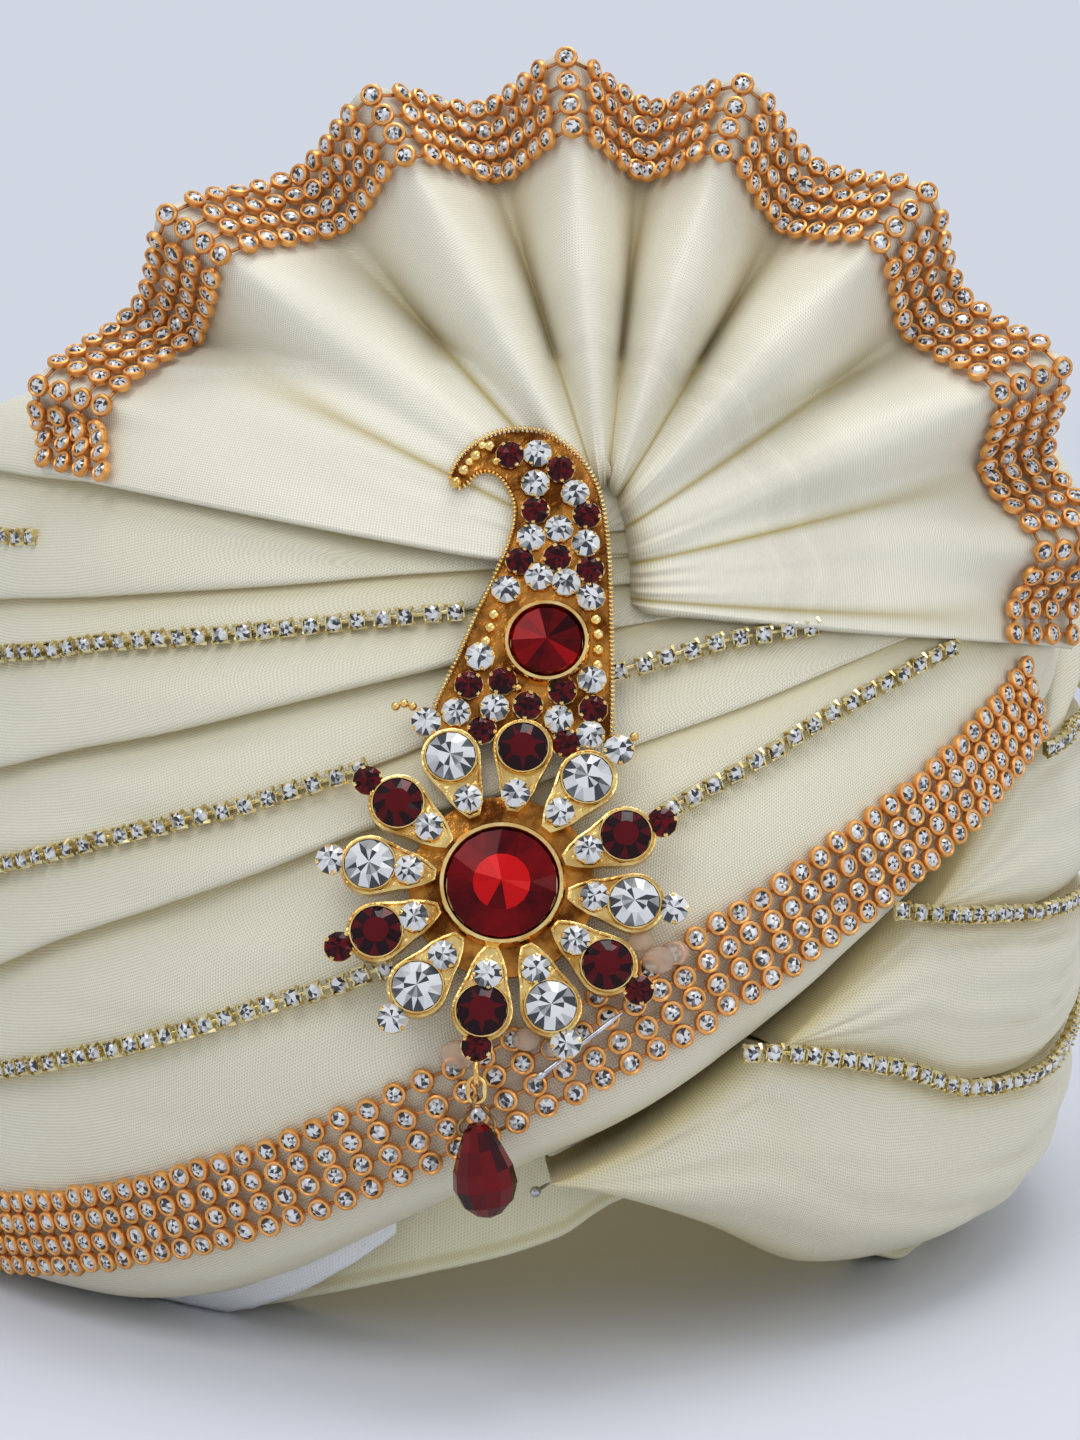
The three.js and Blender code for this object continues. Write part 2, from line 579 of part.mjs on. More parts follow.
// Fan crest: its pleats are round ridges between narrow valleys at the hub, and sharp ridges at the rim.
function fanWave(angle, outwards) {
  const ridges = FAN_RIM.map((row) => row.ridge);
  const next = Math.max(1, ridges.findIndex((ridge) => ridge > angle));
  const across = (angle - ridges[next - 1]) / (ridges[next] - ridges[next - 1]);
  const away = across < 0.5 ? across * 2 : (1 - across) * 2;
  const rounded = 2 * Math.cos((away * Math.PI) / 2) ** 0.7 - 1;
  const peaked = 1 - 2 * Math.sin((away * Math.PI) / 2) ** 1.15;
  return rounded + (peaked - rounded) * outwards;
}

function fanRadius(angle) {
  return rimRadius(angle) - FAN_VALLEY_DROP * (0.5 - 0.5 * fanWave(angle, 1));
}

// A point of the fan at an angle and a distance from its hub: it leans back, and lies on the folds below it.
function fanPoint(angle, distance, forward = 0) {
  const x = FAN_HUB.x + distance * Math.sin(radians(angle));
  const z = FAN_HUB.z + distance * Math.cos(radians(angle));
  const outwards = THREE.MathUtils.smoothstep(distance, 35, 85);
  const free = FAN_HUB.y + distance * (FAN_LEAN - FAN_WAVE * fanWave(angle, outwards));
  const rest = foldFront(x, z) - FAN_CLOTH - 1;
  return new THREE.Vector3(x, Math.min(free, rest) - forward, z);
}

// The front of the folds at a place seen from the front, or far back where there are none.
function foldFront(x, z) {
  const height = Math.min(z, 167);
  const side = x > 0 ? skinSide.right(height) : skinSide.left(height);
  const part = 1 - (x / side) ** 2;
  const plain = part > 0 ? -skinFront(height) * Math.sqrt(part) : 0;
  const above = Math.max(0, z - 168);
  return plain - hubDimple(new THREE.Vector3(x, plain - 1, z)) + above * 3;
}

function fanAngles() {
  const stops = [FAN_FROM];
  FAN_RIM.forEach((row, i) => {
    if (i === 0) return;
    const before = FAN_RIM[i - 1].ridge;
    const span = row.ridge - before;
    [0.28, 0.5, 0.72, 1].forEach((part) => stops.push(before + span * part));
  });
  return [...stops.filter((a) => a >= FAN_FROM && a < FAN_TO - 1), FAN_TO].sort((a, b) => a - b);
}

function makeFan() {
  const angles = fanAngles();
  const front = angles.map((angle) => {
    const rim = fanRadius(angle);
    const inner = range(FAN_START, rim - BAND_WIDTH, 4).map((distance) => fanPoint(angle, distance));
    return [...inner, fanPoint(angle, rim - BAND_WIDTH / 2), fanPoint(angle, rim)];
  });
  const back = front.map((row) => row.map((p) => new THREE.Vector3(p.x, p.y + FAN_CLOTH, p.z)));
  add("fan_crest", sheet(front, back), SATIN);

  const rim = angles.map((angle) => [0, 0.5, 1].map((part) => {
    const distance = fanRadius(angle) - BAND_WIDTH * (1 - part);
    return fanPoint(angle, distance, BAND_THICK + 2 * GAP);
  }));
  const behind = rim.map((row) => row.map((p) => new THREE.Vector3(p.x, p.y + BAND_THICK, p.z)));
  add("fan_trim", sheet(rim, behind), COPPER);
}

// Lower band of beads, along the swath's second pleat line.
const FRONT_BAND_TO = 54;
const TRIM_LIFT = 1.1;

function makeFrontBand() {
  const angles = [...range(SWATH_FROM + 1, -60, 6), ...range(-48, FRONT_BAND_TO, 14)];
  const across = (angle, part, lift) => {
    const slope = (pleat.band(angle + 1) - pleat.band(angle - 1)) / 2;
    const step = skinPoint(angle + 1, 50).distanceTo(skinPoint(angle, 50));
    const tilt = Math.atan2(slope, step);
    const sideways = BAND_WIDTH * (part - 0.5);
    const turn = (-sideways * Math.sin(tilt)) / step;
    const z = Math.max(1.4, pleat.band(angle) + sideways * Math.cos(tilt));
    return skinPoint(angle + turn, z, lift + hubDimple(skinPoint(angle + turn, z)));
  };
  const rows = (lift) => angles.map((angle) => [0, 0.5, 1].map((part) => across(angle, part, lift)));
  add("front_trim", sheet(rows(BAND_THICK + TRIM_LIFT), rows(TRIM_LIFT)), COPPER);
}

// A chain's outer form, as a tube along a smooth curve.
function tube(points, wide, sides, stepLength, closed = false) {
  const curve = new THREE.CatmullRomCurve3(points, closed, "centripetal");
  const section = new THREE.Shape();
  for (let i = 0; i < sides; i++) {
    const turn = (i / sides) * 2 * Math.PI;
    const [x, y] = [(wide / 2) * Math.cos(turn), (wide / 2) * Math.sin(turn)];
    if (i === 0) section.moveTo(x, y);
    else section.lineTo(x, y);
  }
  section.closePath();
  const steps = Math.max(6, Math.round(curve.getLength() / stepLength));
  return tidyGeometry(
    new THREE.ExtrudeGeometry(section, { steps, extrudePath: curve, bevelEnabled: false, curveSegments: 1 }),
  );
}

const CHAIN_STEP = 10.5;

// In a groove a chain sinks between the two rolls, and where a roll is thin it lies on them.
function chainLift(line, angle) {
  const beside = ROLLS.filter((roll) => roll.low === line || roll.high === line);
  const thinnest = Math.min(...beside.map((roll) => rollSpan(roll, angle).high - rollSpan(roll, angle).low));
  return 2.4 - 3.1 * THREE.MathUtils.clamp(thinnest / 22, 0, 1);
}

function makeChains() {
  const lift = CHAIN_WIDE / 2 + 0.75;
  SWATH_CHAINS.forEach(({ name, line, above, sink, from, to }) => {
    const count = Math.max(3, Math.round((to - from) / 6));
    const points = range(from, to, count).map((angle) => {
      const z = pleat[line](angle) + above * Math.min(1, (pleat.fold(angle) - pleat.a(angle)) / 25);
      return skinPoint(angle, z, lift - sink + hubDimple(skinPoint(angle, z)));
    });
    add(name, tube(points, CHAIN_WIDE, 6, CHAIN_STEP), PALE_GOLD);
  });
  GROOVE_CHAINS.forEach(({ name, line, from, to }) => {
    const count = Math.round((to - from) / 7);
    const points = range(from, to, count).map((angle) =>
      skinPoint(angle, groove[line](angle), chainLift(line, angle)),
    );
    add(name, tube(points, CHAIN_WIDE, 6, CHAIN_STEP), PALE_GOLD);
  });
}

// Brooch. Its group leans back, with +Y up its face and +Z out of it.
const brooch = new THREE.Group();
brooch.position.set(BROOCH.x, BROOCH.y, BROOCH.z);
brooch.rotation.x = radians(90 - BROOCH.lean);
turban.add(brooch);

// A stone or its seat: a straight girdle under sloping facets and a flat table.
function stoneGeometry(radius, girdle, height, sides, x, y, z) {
  const profile = [
    new THREE.Vector2(0, 0),
    new THREE.Vector2(radius, 0),
    new THREE.Vector2(radius, girdle),
    new THREE.Vector2(radius * 0.58, height),
    new THREE.Vector2(0, height),
  ];
  return tidyGeometry(new THREE.LatheGeometry(profile, sides).rotateX(Math.PI / 2).translate(x, y, z));
}

// A small stone with its seat: facets rise from the plate to a flat table.
function smallStone(radius, height, { x, y }) {
  const profile = [[0, 0], [radius * 1.08, 0], [radius * 0.62, height], [0, height]];
  const points = profile.map(([r, z]) => new THREE.Vector2(r, z));
  return tidyGeometry(new THREE.LatheGeometry(points, 8).rotateX(Math.PI / 2).translate(x, y, 0));
}

function padGeometry(radius, height, sides, x, y) {
  return tidyGeometry(new THREE.CylinderGeometry(radius, radius, height, sides).rotateX(Math.PI / 2)
    .translate(x, y, height / 2));
}

function plateGeometry(points, thick) {
  const shape = new THREE.Shape(points.map((p) => new THREE.Vector2(p.across, p.up)));
  return tidyGeometry(new THREE.ExtrudeGeometry(shape, { depth: thick, bevelEnabled: false }));
}

function tipPlace(index) {
  return petalPlace(index, index === DROP_PETAL.index ? DROP_PETAL.tip : TIP_STONE.at);
}

function stonePlace(index) {
  return petalPlace(index, index === DROP_PETAL.index ? DROP_PETAL.stone : PETAL_STONE.at);
}

function petalPlace(index, distance) {
  const turn = radians(FIRST_PETAL + (TURN / PETALS) * index);
  return { x: distance * Math.sin(turn), y: distance * Math.cos(turn), turn };
}

const PETAL_HALF = [
  { at: 9, half: 1.7 }, { at: 15.5, half: 3 }, { at: 19.2, half: 4.3 }, { at: 24.2, half: 4.3 }, { at: 27.9, half: 2.8 },
];

function petalGeometry(index) {
  const { turn } = petalPlace(index, 0);
  const side = (sign) => PETAL_HALF.map(({ at, half }) => ({ across: sign * half, up: at }));
  const outline = [...side(1), ...side(-1).reverse()];
  return plateGeometry(outline, PLATE + 0.9).rotateZ(-turn);
}

const SEAT_HEIGHT = 2.2;
const SMALL_HEIGHT = 2.7;

function makeBroochSetting() {
  const pieces = [padGeometry(13.5, PLATE, 24, 0, 0), padGeometry(CENTRE_BEZEL, SEAT_HEIGHT + 0.6, 20, 0, 0)];
  for (let i = 0; i < PETALS; i++) {
    const large = stonePlace(i);
    const inner = petalPlace(i, INNER_STONE.at);
    const tip = tipPlace(i);
    pieces.push(petalGeometry(i));
    pieces.push(padGeometry(PETAL_STONE.bezel, SEAT_HEIGHT + 0.4, 10, large.x, large.y));
    pieces.push(smallStone(INNER_STONE.radius, SMALL_HEIGHT + 0.8, inner));
    pieces.push(smallStone(TIP_STONE.radius, SMALL_HEIGHT + 0.8, tip));
  }
  pieces.push(plateGeometry(PAISLEY_OUTLINE, PLATE));
  pieces.push(padGeometry(PAISLEY_STONE.bezel, SEAT_HEIGHT, 16, PAISLEY_STONE.across, PAISLEY_STONE.up));
  PAISLEY_SMALL.forEach(({ across, up }) => {
    pieces.push(smallStone(PAISLEY_RADIUS, SMALL_HEIGHT, { x: across, y: up }));
  });
  pieces.push(loopGeometry());
  add("brooch_setting", joined(pieces), GOLD, brooch);
}

// The loop stands edge-on below the tip of the lowest petal, so that a link can hang face-on in it.
function loopCentre() {
  const tip = tipPlace(DROP_PETAL.index);
  return new THREE.Vector3(tip.x, tip.y - TIP_STONE.radius - LOOP.radius + 0.15, PLATE + 0.6);
}

function ringGeometry(radius, wire, turns, sides) {
  return tidyGeometry(new THREE.TorusGeometry(radius, wire, sides, turns));
}

function loopGeometry() {
  const centre = loopCentre();
  return ringGeometry(LOOP.radius, LOOP.wire, 12, 6).rotateY(Math.PI / 2).translate(centre.x, centre.y, centre.z);
}

function makeMainStones() {
  const seat = SEAT_HEIGHT + GAP;
  add("centre_stone", stoneGeometry(CENTRE_STONE, 1.2, 3.4, 16, 0, 0, seat + 0.6), RED_GLASS, brooch);
  const redPetals = [0, 2, 4, 6, 8, 10];
  for (let i = 0; i < PETALS; i++) {
    const { x, y } = stonePlace(i);
    const name = "petal_stone_" + String(i + 1).padStart(2, "0");
    const look = redPetals.includes(i) ? RED_GLASS : CLEAR_GLASS;
    add(name, stoneGeometry(PETAL_STONE.stone, 0.6, 1.9, 10, x, y, seat + 0.4), look, brooch);
  }
  const big = PAISLEY_STONE;
  add("paisley_stone", stoneGeometry(big.stone, 1, 2.6, 12, big.across, big.up, seat), RED_GLASS, brooch);
}

// The brooch's pin lies flat behind the flower, and its point shows beside it.
const PIN = { wire: 0.8, from: { across: 6, up: -31 }, to: { across: 19.5, up: -20.5 } };

function makeBroochPin() {
  const [a, b] = [PIN.from, PIN.to].map((p) => new THREE.Vector3(p.across, p.up, -PIN.wire / 2 - GAP));
  const length = a.distanceTo(b);
  const wire = new THREE.CylinderGeometry(PIN.wire / 2, PIN.wire / 2, length, 6);
  const along = b.clone().sub(a).normalize();
  const turned = new THREE.Quaternion().setFromUnitVectors(new THREE.Vector3(0, 1, 0), along);
  wire.applyQuaternion(turned).translate(...a.clone().add(b).multiplyScalar(0.5).toArray());
  add("brooch_pin", tidyGeometry(wire), STEEL, brooch);
}

// A dressmaker's pin left in the swath's edge at the top of the arch.
function makeDressPin() {
  const head = new THREE.SphereGeometry(0.95, 8, 6);
  const shank = new THREE.CylinderGeometry(0.33, 0.33, 5.4, 6).translate(0, 2.9, 0);
  const pin = joined([head, shank]).rotateX(Math.PI / 2).rotateY(radians(-24));
  add("dress_pin", pin.translate(4.2, -119.5, 30.1), STEEL);
}

// Link, bail and drop, hanging straight down from the loop.
function makeDrop() {
  brooch.updateMatrixWorld(true);
  const loop = brooch.localToWorld(loopCentre());
  const hook = loop.clone().add(new THREE.Vector3(0, 0, -LOOP.radius));
  const link = new THREE.Group();
  link.position.copy(hook);
  turban.add(link);
  const clear = LOOP.wire + LINK.wire + WIRE_PLAY;
  const half = { x: LINK.wide / 2 - LINK.wire, z: LINK.tall / 2 - LINK.wire };
  const middle = clear - half.z;
  const oval = range(0, TURN, 16).slice(0, 16).map((turn) => new THREE.Vector3(
    half.x * Math.sin(radians(turn)), 0, middle + half.z * Math.cos(radians(turn)),
  ));
  add("drop_link", wireLoop(oval, LINK.wire, 5), GOLD, link);

  const drop = new THREE.Group();
  drop.position.set(hook.x, hook.y, hook.z + middle - half.z);
  turban.add(drop);
  const over = LINK.wire + BAIL_WIRE + BAIL_PLAY;
  const low = -DROP.belowHinge;
  const bail = [
    new THREE.Vector3(0, 0, over), new THREE.Vector3(-0.25, -over * 0.9, 0.1), new THREE.Vector3(-1, -over, -1.6),
    new THREE.Vector3(-2.6, -0.3, low), new THREE.Vector3(0, 0, low - 0.4), new THREE.Vector3(2.6, 0.3, low),
    new THREE.Vector3(1, over, -1.6), new THREE.Vector3(0.25, over * 0.9, 0.1),
  ];
  add("drop_bail", wireLoop(bail, BAIL_WIRE, 5), BRONZE, drop);
  add("drop_bead", dropGeometry(), RED_GLASS, drop);
}

// A closed wire through a ring of points.
function wireLoop(points, wire, sides) {
  const curve = new THREE.CatmullRomCurve3(points, true, "centripetal");
  return tidyGeometry(new THREE.TubeGeometry(curve, 16, wire, sides, true));
}

// The bead is a faceted pear, notched across its top for the wire.
function dropGeometry() {
  const { length, radius, belowHinge } = DROP;
  const profile = [
    [0, -length], [0.42, -0.955 * length], [0.8, -0.84 * length], [1, -0.66 * length],
    [0.93, -0.47 * length], [0.68, -0.25 * length], [0.4, -0.06 * length], [0.26, 0], [0, 0],
  ].map(([r, z]) => new THREE.Vector2(r * radius, z));
  const pear = tidyGeometry(new THREE.LatheGeometry(profile, 10).rotateX(Math.PI / 2));
  return pear.translate(0, 0, -belowHinge - 1.3);
}

makeCap();
makeInnerBand();
makeSwath();
makeRolls();
makeCrownTop();
makeInterlining();
makeFan();
makeFrontBand();
makeChains();
makeBroochSetting();
makeMainStones();
makeBroochPin();
makeDressPin();
makeDrop();

// The origin is put under the middle of the turban, on the table.
turban.updateMatrixWorld(true);
const whole = new THREE.Box3().setFromObject(turban, true);
turban.position.set(-(whole.min.x + whole.max.x) / 2, -(whole.min.y + whole.max.y) / 2, -whole.min.z);

export default turban;
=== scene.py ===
import math

import bmesh
import bpy
import numpy as np
from mathutils import Matrix, Vector


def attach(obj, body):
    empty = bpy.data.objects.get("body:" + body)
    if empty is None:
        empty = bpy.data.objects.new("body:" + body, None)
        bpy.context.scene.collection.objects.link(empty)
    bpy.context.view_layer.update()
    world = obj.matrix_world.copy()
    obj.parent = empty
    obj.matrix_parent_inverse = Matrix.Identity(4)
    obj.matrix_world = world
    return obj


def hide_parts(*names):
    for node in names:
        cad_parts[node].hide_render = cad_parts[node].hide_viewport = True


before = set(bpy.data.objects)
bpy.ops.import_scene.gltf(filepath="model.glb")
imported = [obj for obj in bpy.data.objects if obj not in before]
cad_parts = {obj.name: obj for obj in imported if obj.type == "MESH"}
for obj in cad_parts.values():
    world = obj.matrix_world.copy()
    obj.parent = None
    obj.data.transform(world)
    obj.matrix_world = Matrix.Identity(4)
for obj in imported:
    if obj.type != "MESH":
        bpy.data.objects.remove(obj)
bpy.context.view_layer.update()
bpy.ops.object.select_all(action="DESELECT")

# Lengths are in millimetres, in the frame of the part's source. A piece is put in metres when it is settled.
SHIFT = np.array([3.967212677, 7.855371333, 0.0])
MM = 0.001
SAME_PLACE = 0.00001
BEAD_PITCH = 4.15
ROW_OFFSETS = (np.arange(4) - 1.5) * BEAD_PITCH


# Form of the wound cloth, as in the part's source

SKIN = np.array([
    (0, 118, 92, 114, 112), (6, 122, 102, 120, 118), (16, 123, 110, 126, 123),
    (32, 122, 114, 130, 127), (56, 121, 117, 132, 130), (80, 120, 118, 127, 131),
    (105, 118, 118, 117, 131), (126, 117, 117, 107.5, 130), (145, 114, 114, 98.5, 126),
    (158, 108, 108, 91, 120), (166, 99, 99, 84, 111), (171, 86, 86, 76, 97),
])
PLEAT_LINES = ["edge", "band", "third", "c", "second", "b", "first", "a", "fold", "top"]
SWATH = np.array([
    (-147, 0.6, 10, 31, 49, 66, 85, 106, 119, 146, 165),
    (-110, 0, 10, 31, 50, 67, 86, 108, 121, 149, 165),
    (-80, 0, 10, 33, 50, 70, 89, 111, 123, 150, 165),
    (-60, 0, 10.6, 38, 56, 75, 94, 115, 125.5, 150, 165),
    (-50, 0, 12.8, 42.8, 62, 79.6, 97.4, 117, 127, 149, 165),
    (-40, 1, 17.3, 48.5, 70, 84.6, 102, 119.3, 128, 148, 165),
    (-30, 4.5, 23.5, 55, 77.3, 90.2, 106, 121.4, 129.5, 146, 165),
    (-20, 12.7, 31.6, 62.6, 84.8, 96, 111, 123.4, 131, 143, 165),
    (-10, 24, 41.3, 69.9, 93, 102.6, 116, 125.7, 132.8, 139, 165),
    (0, 34.3, 52, 81, 98, 111, 120.5, 128, 134, 139, 165),
    (10, 42.8, 62, 92, 104.5, 117.5, 124, 131, 135.5, 140, 165),
    (20, 55, 72.6, 101.7, 111, 122, 127, 132, 136.5, 141, 165),
    (30, 68, 83.3, 111.6, 117.5, 124.5, 129, 133, 137, 142, 165),
    (40, 81, 93.7, 118.6, 122.5, 127, 131, 135, 139, 143, 165),
    (50, 96, 105.8, 121.5, 125, 129, 133, 137, 141, 145, 165),
    (60, 112.5, 118.5, 123, 127, 131, 135, 139, 143, 148, 165),
    (65, 134, 138, 141, 144, 147, 150, 153, 156, 159, 165),
    (70, 158, 159, 159.8, 160.5, 161.2, 162, 162.8, 163.5, 164.2, 165),
])
GROOVES = np.array([
    (0, 36, 57, 88, 110), (4, 33.5, 56.5, 86, 108), (10, 29, 56, 84, 106), (19, 22, 55.5, 81, 103),
    (33, 10, 49.6, 76, 99), (46, 6, 41, 72, 98), (60, 3.5, 38.2, 69, 100.5), (75, 1.5, 42.5, 68.5, 103),
    (95, 0, 44, 72, 106), (150, 0, 43, 78, 114), (213, 0, 40, 80, 120),
])
FAN_RIM = np.array([
    (-92, 110), (-71, 109), (-50, 103), (-25.5, 97), (-4, 94), (16, 92.7), (40, 91), (65, 92), (86, 93.5),
    (104, 94),
])
BAND_ARCH = np.array([
    (-180, 0), (-36, 0), (-33.5, 0.5), (-23.8, 5), (-12.3, 10.4), (5, 18.1), (12, 24.3), (22, 28), (34, 20),
    (50, 4), (58, 0), (180, 0),
])
CORE = (89.3, 107.3)
CAP = (79.0, 97.0)
CAP_WALL = 3.0
CORE_WALL = 7.0
CORE_TOP = 100.0
CROWN_LOW = 150.0
FOLDS_TOP = 165.0
SWATH_FROM = -147.0
SWATH_TO = 69.5
FAN_HUB = (16.0, -103.5, 130.0)
FAN_FROM = -79.0
FAN_TO = 98.2
BAND_WIDTH = 16.8


def smooth_curve(places, values):
    """A curve through the values that doesn't overshoot between them."""
    x = np.asarray(places, float)
    y = np.asarray(values, float)
    slope = np.diff(y) / np.diff(x)
    product = slope[:-1] * slope[1:]
    total = np.where(product > 0, slope[:-1] + slope[1:], 1)
    inner = np.where(product > 0, 2 * product / total, 0)
    tangent = np.concatenate([[slope[0]], inner, [slope[-1]]])

    def read(at):
        clamped = np.clip(at, x[0], x[-1])
        k = np.clip(np.searchsorted(x, clamped, side="right") - 1, 0, len(x) - 2)
        width = x[k + 1] - x[k]
        t = (clamped - x[k]) / width
        u = 1 - t
        held = y[k] * u * u * (1 + 2 * t) + y[k + 1] * t * t * (3 - 2 * t)
        return held + tangent[k] * width * t * u * u - tangent[k + 1] * width * t * t * u

    return read


skin_left, skin_right, skin_front, skin_back = (smooth_curve(SKIN[:, 0], SKIN[:, i]) for i in range(1, 5))
pleat = {line: smooth_curve(SWATH[:, 0], SWATH[:, i + 1]) for i, line in enumerate(PLEAT_LINES)}
groove = {
    line: smooth_curve(GROOVES[:, 0], GROOVES[:, i + 1])
    for i, line in enumerate(["low", "third", "second", "first"])
}
rim_radius = smooth_curve(FAN_RIM[:, 0], FAN_RIM[:, 1])
arch_height = smooth_curve(BAND_ARCH[:, 0], BAND_ARCH[:, 1])


def step_up(value, low, high):
    t = np.clip((value - low) / (high - low), 0, 1)
    return t * t * (3 - 2 * t)


def unit(vector):
    vector = np.asarray(vector, float)
    return vector / np.maximum(np.linalg.norm(vector, axis=-1, keepdims=True), 1e-9)


def soft_noise(u, v, seed):
    """Smooth noise from -1 to 1 over a lattice of one unit."""
    table = np.random.default_rng(seed).uniform(-1, 1, (61, 67))
    u, v = np.broadcast_arrays(np.asarray(u, float), np.asarray(v, float))
    i = np.floor(u).astype(int)
    j = np.floor(v).astype(int)
    s = u - i
    t = v - j
    s = s * s * (3 - 2 * s)
    t = t * t * (3 - 2 * t)
    low = table[i % 61, j % 67] * (1 - s) + table[(i + 1) % 61, j % 67] * s
    high = table[i % 61, (j + 1) % 67] * (1 - s) + table[(i + 1) % 61, (j + 1) % 67] * s
    return low * (1 - t) + high * t


def points(x, y, z):
    return np.stack(np.broadcast_arrays(x, y, z), axis=-1).astype(float)


def around(angle, x, y, z):
    """A point at an angle round an ellipse, from the front towards the wearer's left."""
    turn = np.radians(angle)
    return points(x * np.sin(turn), -y * np.cos(turn), z)


def skin_point(angle, z, lift=0.0):
    turn = np.radians(angle)
    side = np.where(np.sin(turn) > 0, skin_right(z), skin_left(z))
    depth = np.where(np.cos(turn) > 0, skin_front(z), skin_back(z))
    return around(angle, side + lift, depth + lift, z)


def crown_rim(angle, lift=0.0):
    depth = np.where(np.cos(np.radians(angle)) > 0, 68.0, 88.0)
    return around(angle, 74.0 + lift, depth + lift, 0.0)


def inner_point(angle, z):
    """The inner side of the folds: up the band, and in to the rim of the crown."""
    core = around(angle, CORE[0] + 1.2, CORE[1] + 1.2, z)
    rim = crown_rim(angle, 1.2)
    share = np.clip((z - CORE_TOP - 8) / (CROWN_LOW - CORE_TOP - 8), 0, 1)[..., None]
    inner = core * (1 - share) + rim * share
    inner[..., 2] = z
    return inner


def bulge(across, low_depth, high_depth):
    side = 2 * np.asarray(across, float) - 1
    depth = np.where(side < 0, low_depth, high_depth)
    return -depth * (1 - np.sqrt(np.maximum(0, 1 - np.abs(side) ** 2.6)))


def hub_dimple(point):
    far = np.hypot(point[..., 0] - FAN_HUB[0], (point[..., 2] - FAN_HUB[2]) * 0.8)
    return np.where(point[..., 1] < 0, -5 * np.exp(-((far / 20) ** 2)), 0)


# Settling pieces in the scene

PIECES = bpy.data.collections.new("pieces")
bpy.context.scene.collection.children.link(PIECES)


def new_piece(name, mesh, finish, body="turban"):
    piece = bpy.data.objects.new(name, mesh)
    PIECES.objects.link(piece)
    mesh.materials.clear()
    for material in finish if isinstance(finish, (list, tuple)) else [finish]:
        mesh.materials.append(material)
    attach(piece, body)
    return piece


def only(piece):
    bpy.ops.object.select_all(action="DESELECT")
    piece.select_set(True)
    bpy.context.view_layer.objects.active = piece


def apply_modifiers(piece):
    only(piece)
    for modifier in list(piece.modifiers):
        bpy.ops.object.modifier_apply(modifier=modifier.name)
    piece.select_set(False)


def edit_all():
    bpy.ops.object.mode_set(mode="EDIT")
    bpy.ops.mesh.select_all(action="SELECT")


def close_form():
    """Turns every face out and ends the editing."""
    bpy.ops.mesh.select_all(action="SELECT")
    bpy.ops.mesh.normals_make_consistent(inside=False)
    bpy.ops.object.mode_set(mode="OBJECT")


def extrude(rise):
    bpy.ops.mesh.extrude_region_move(TRANSFORM_OT_translate={"value": (0, 0, rise)})


def grid_faces(rows, columns, round_about=False):
    last = columns if round_about else columns - 1
    i, j = np.meshgrid(np.arange(rows - 1), np.arange(last), indexing="ij")
    beside = (j + 1) % columns
    corners = [i * columns + j, i * columns + beside, (i + 1) * columns + beside, (i + 1) * columns + j]
    return np.stack([c.ravel() for c in corners], axis=1)


def along(grid, axis):
    """Distances run along a grid's rows or columns, from its first point."""
    steps = np.linalg.norm(np.diff(grid, axis=axis), axis=2)
    start = np.zeros_like(np.take(steps, [0], axis=axis))
    return np.concatenate([start, np.cumsum(steps, axis=axis)], axis=axis)


def woven_mesh(name, grid, round_about=False, turned=False, shade=None):
    """A mesh over a grid of points, with its weave laid along the grid and the painted shade of its folds."""
    rows, columns = grid.shape[:2]
    faces = grid_faces(rows, columns, round_about)
    if turned:
        faces = faces[:, ::-1]
    mesh = bpy.data.meshes.new(name)
    mesh.from_pydata(((grid.reshape(-1, 3) + SHIFT) * MM).tolist(), [], faces.tolist())
    weave = np.stack([along(grid, 1), along(grid, 0)], axis=-1).reshape(-1, 2)
    corner = np.empty(len(mesh.loops), dtype=np.int32)
    mesh.loops.foreach_get("vertex_index", corner)
    layout = mesh.uv_layers.new(name="weave")
    layout.data.foreach_set("uv", (weave[corner] * MM).astype(np.float32).ravel())
    if shade is not None:
        depth = mesh.attributes.new("painted_crease_shade", "FLOAT", "POINT")
        depth.data.foreach_set("value", shade.ravel().astype(np.float32))
    mesh.polygons.foreach_set("use_smooth", np.ones(len(mesh.polygons), dtype=bool))
    return mesh


def cloth_piece(name, grid, finish, thick, shade=None, turned=False, round_about=False):
    """A sheet of cloth whose front lies on a grid of points."""
    piece = new_piece(name, woven_mesh(name, grid, round_about, turned, shade), finish)
    wall = piece.modifiers.new("thickness", "SOLIDIFY")
    wall.thickness = thick * MM
    wall.offset = -1
    wall.use_even_offset = False
    apply_modifiers(piece)
    return piece


def merge_seams(piece, face_out):
    """Joins the points that lie on each other, and turns the faces out where that is asked for."""
    only(piece)
    edit_all()
    bpy.ops.mesh.remove_doubles(threshold=SAME_PLACE)
    if face_out:
        bpy.ops.mesh.normals_make_consistent(inside=False)
    bpy.ops.object.mode_set(mode="OBJECT")


# Finishes

def finish_of(name):
    material = bpy.data.materials.new(name)
    material.use_nodes = True
    nodes = material.node_tree.nodes
    return material, nodes, material.node_tree.links, nodes["Principled BSDF"]


def blend_colours(nodes, links, factor, low, high, mode="MIX"):
    mix = nodes.new("ShaderNodeMix")
    mix.data_type = "RGBA"
    mix.blend_type = mode
    for socket, value in ((mix.inputs[0], factor), (mix.inputs[6], low), (mix.inputs[7], high)):
        if isinstance(value, bpy.types.NodeSocket):
            links.new(value, socket)
        elif isinstance(value, (int, float)):
            socket.default_value = value
        else:
            socket.default_value = (*value, 1)
    return mix.outputs[2]


def sums(nodes, links, operation, a, b=None):
    node = nodes.new("ShaderNodeMath")
    node.operation = operation
    for socket, value in zip(node.inputs, (a, b)):
        if isinstance(value, bpy.types.NodeSocket):
            links.new(value, socket)
        elif value is not None:
            socket.default_value = value
    return node.outputs[0]


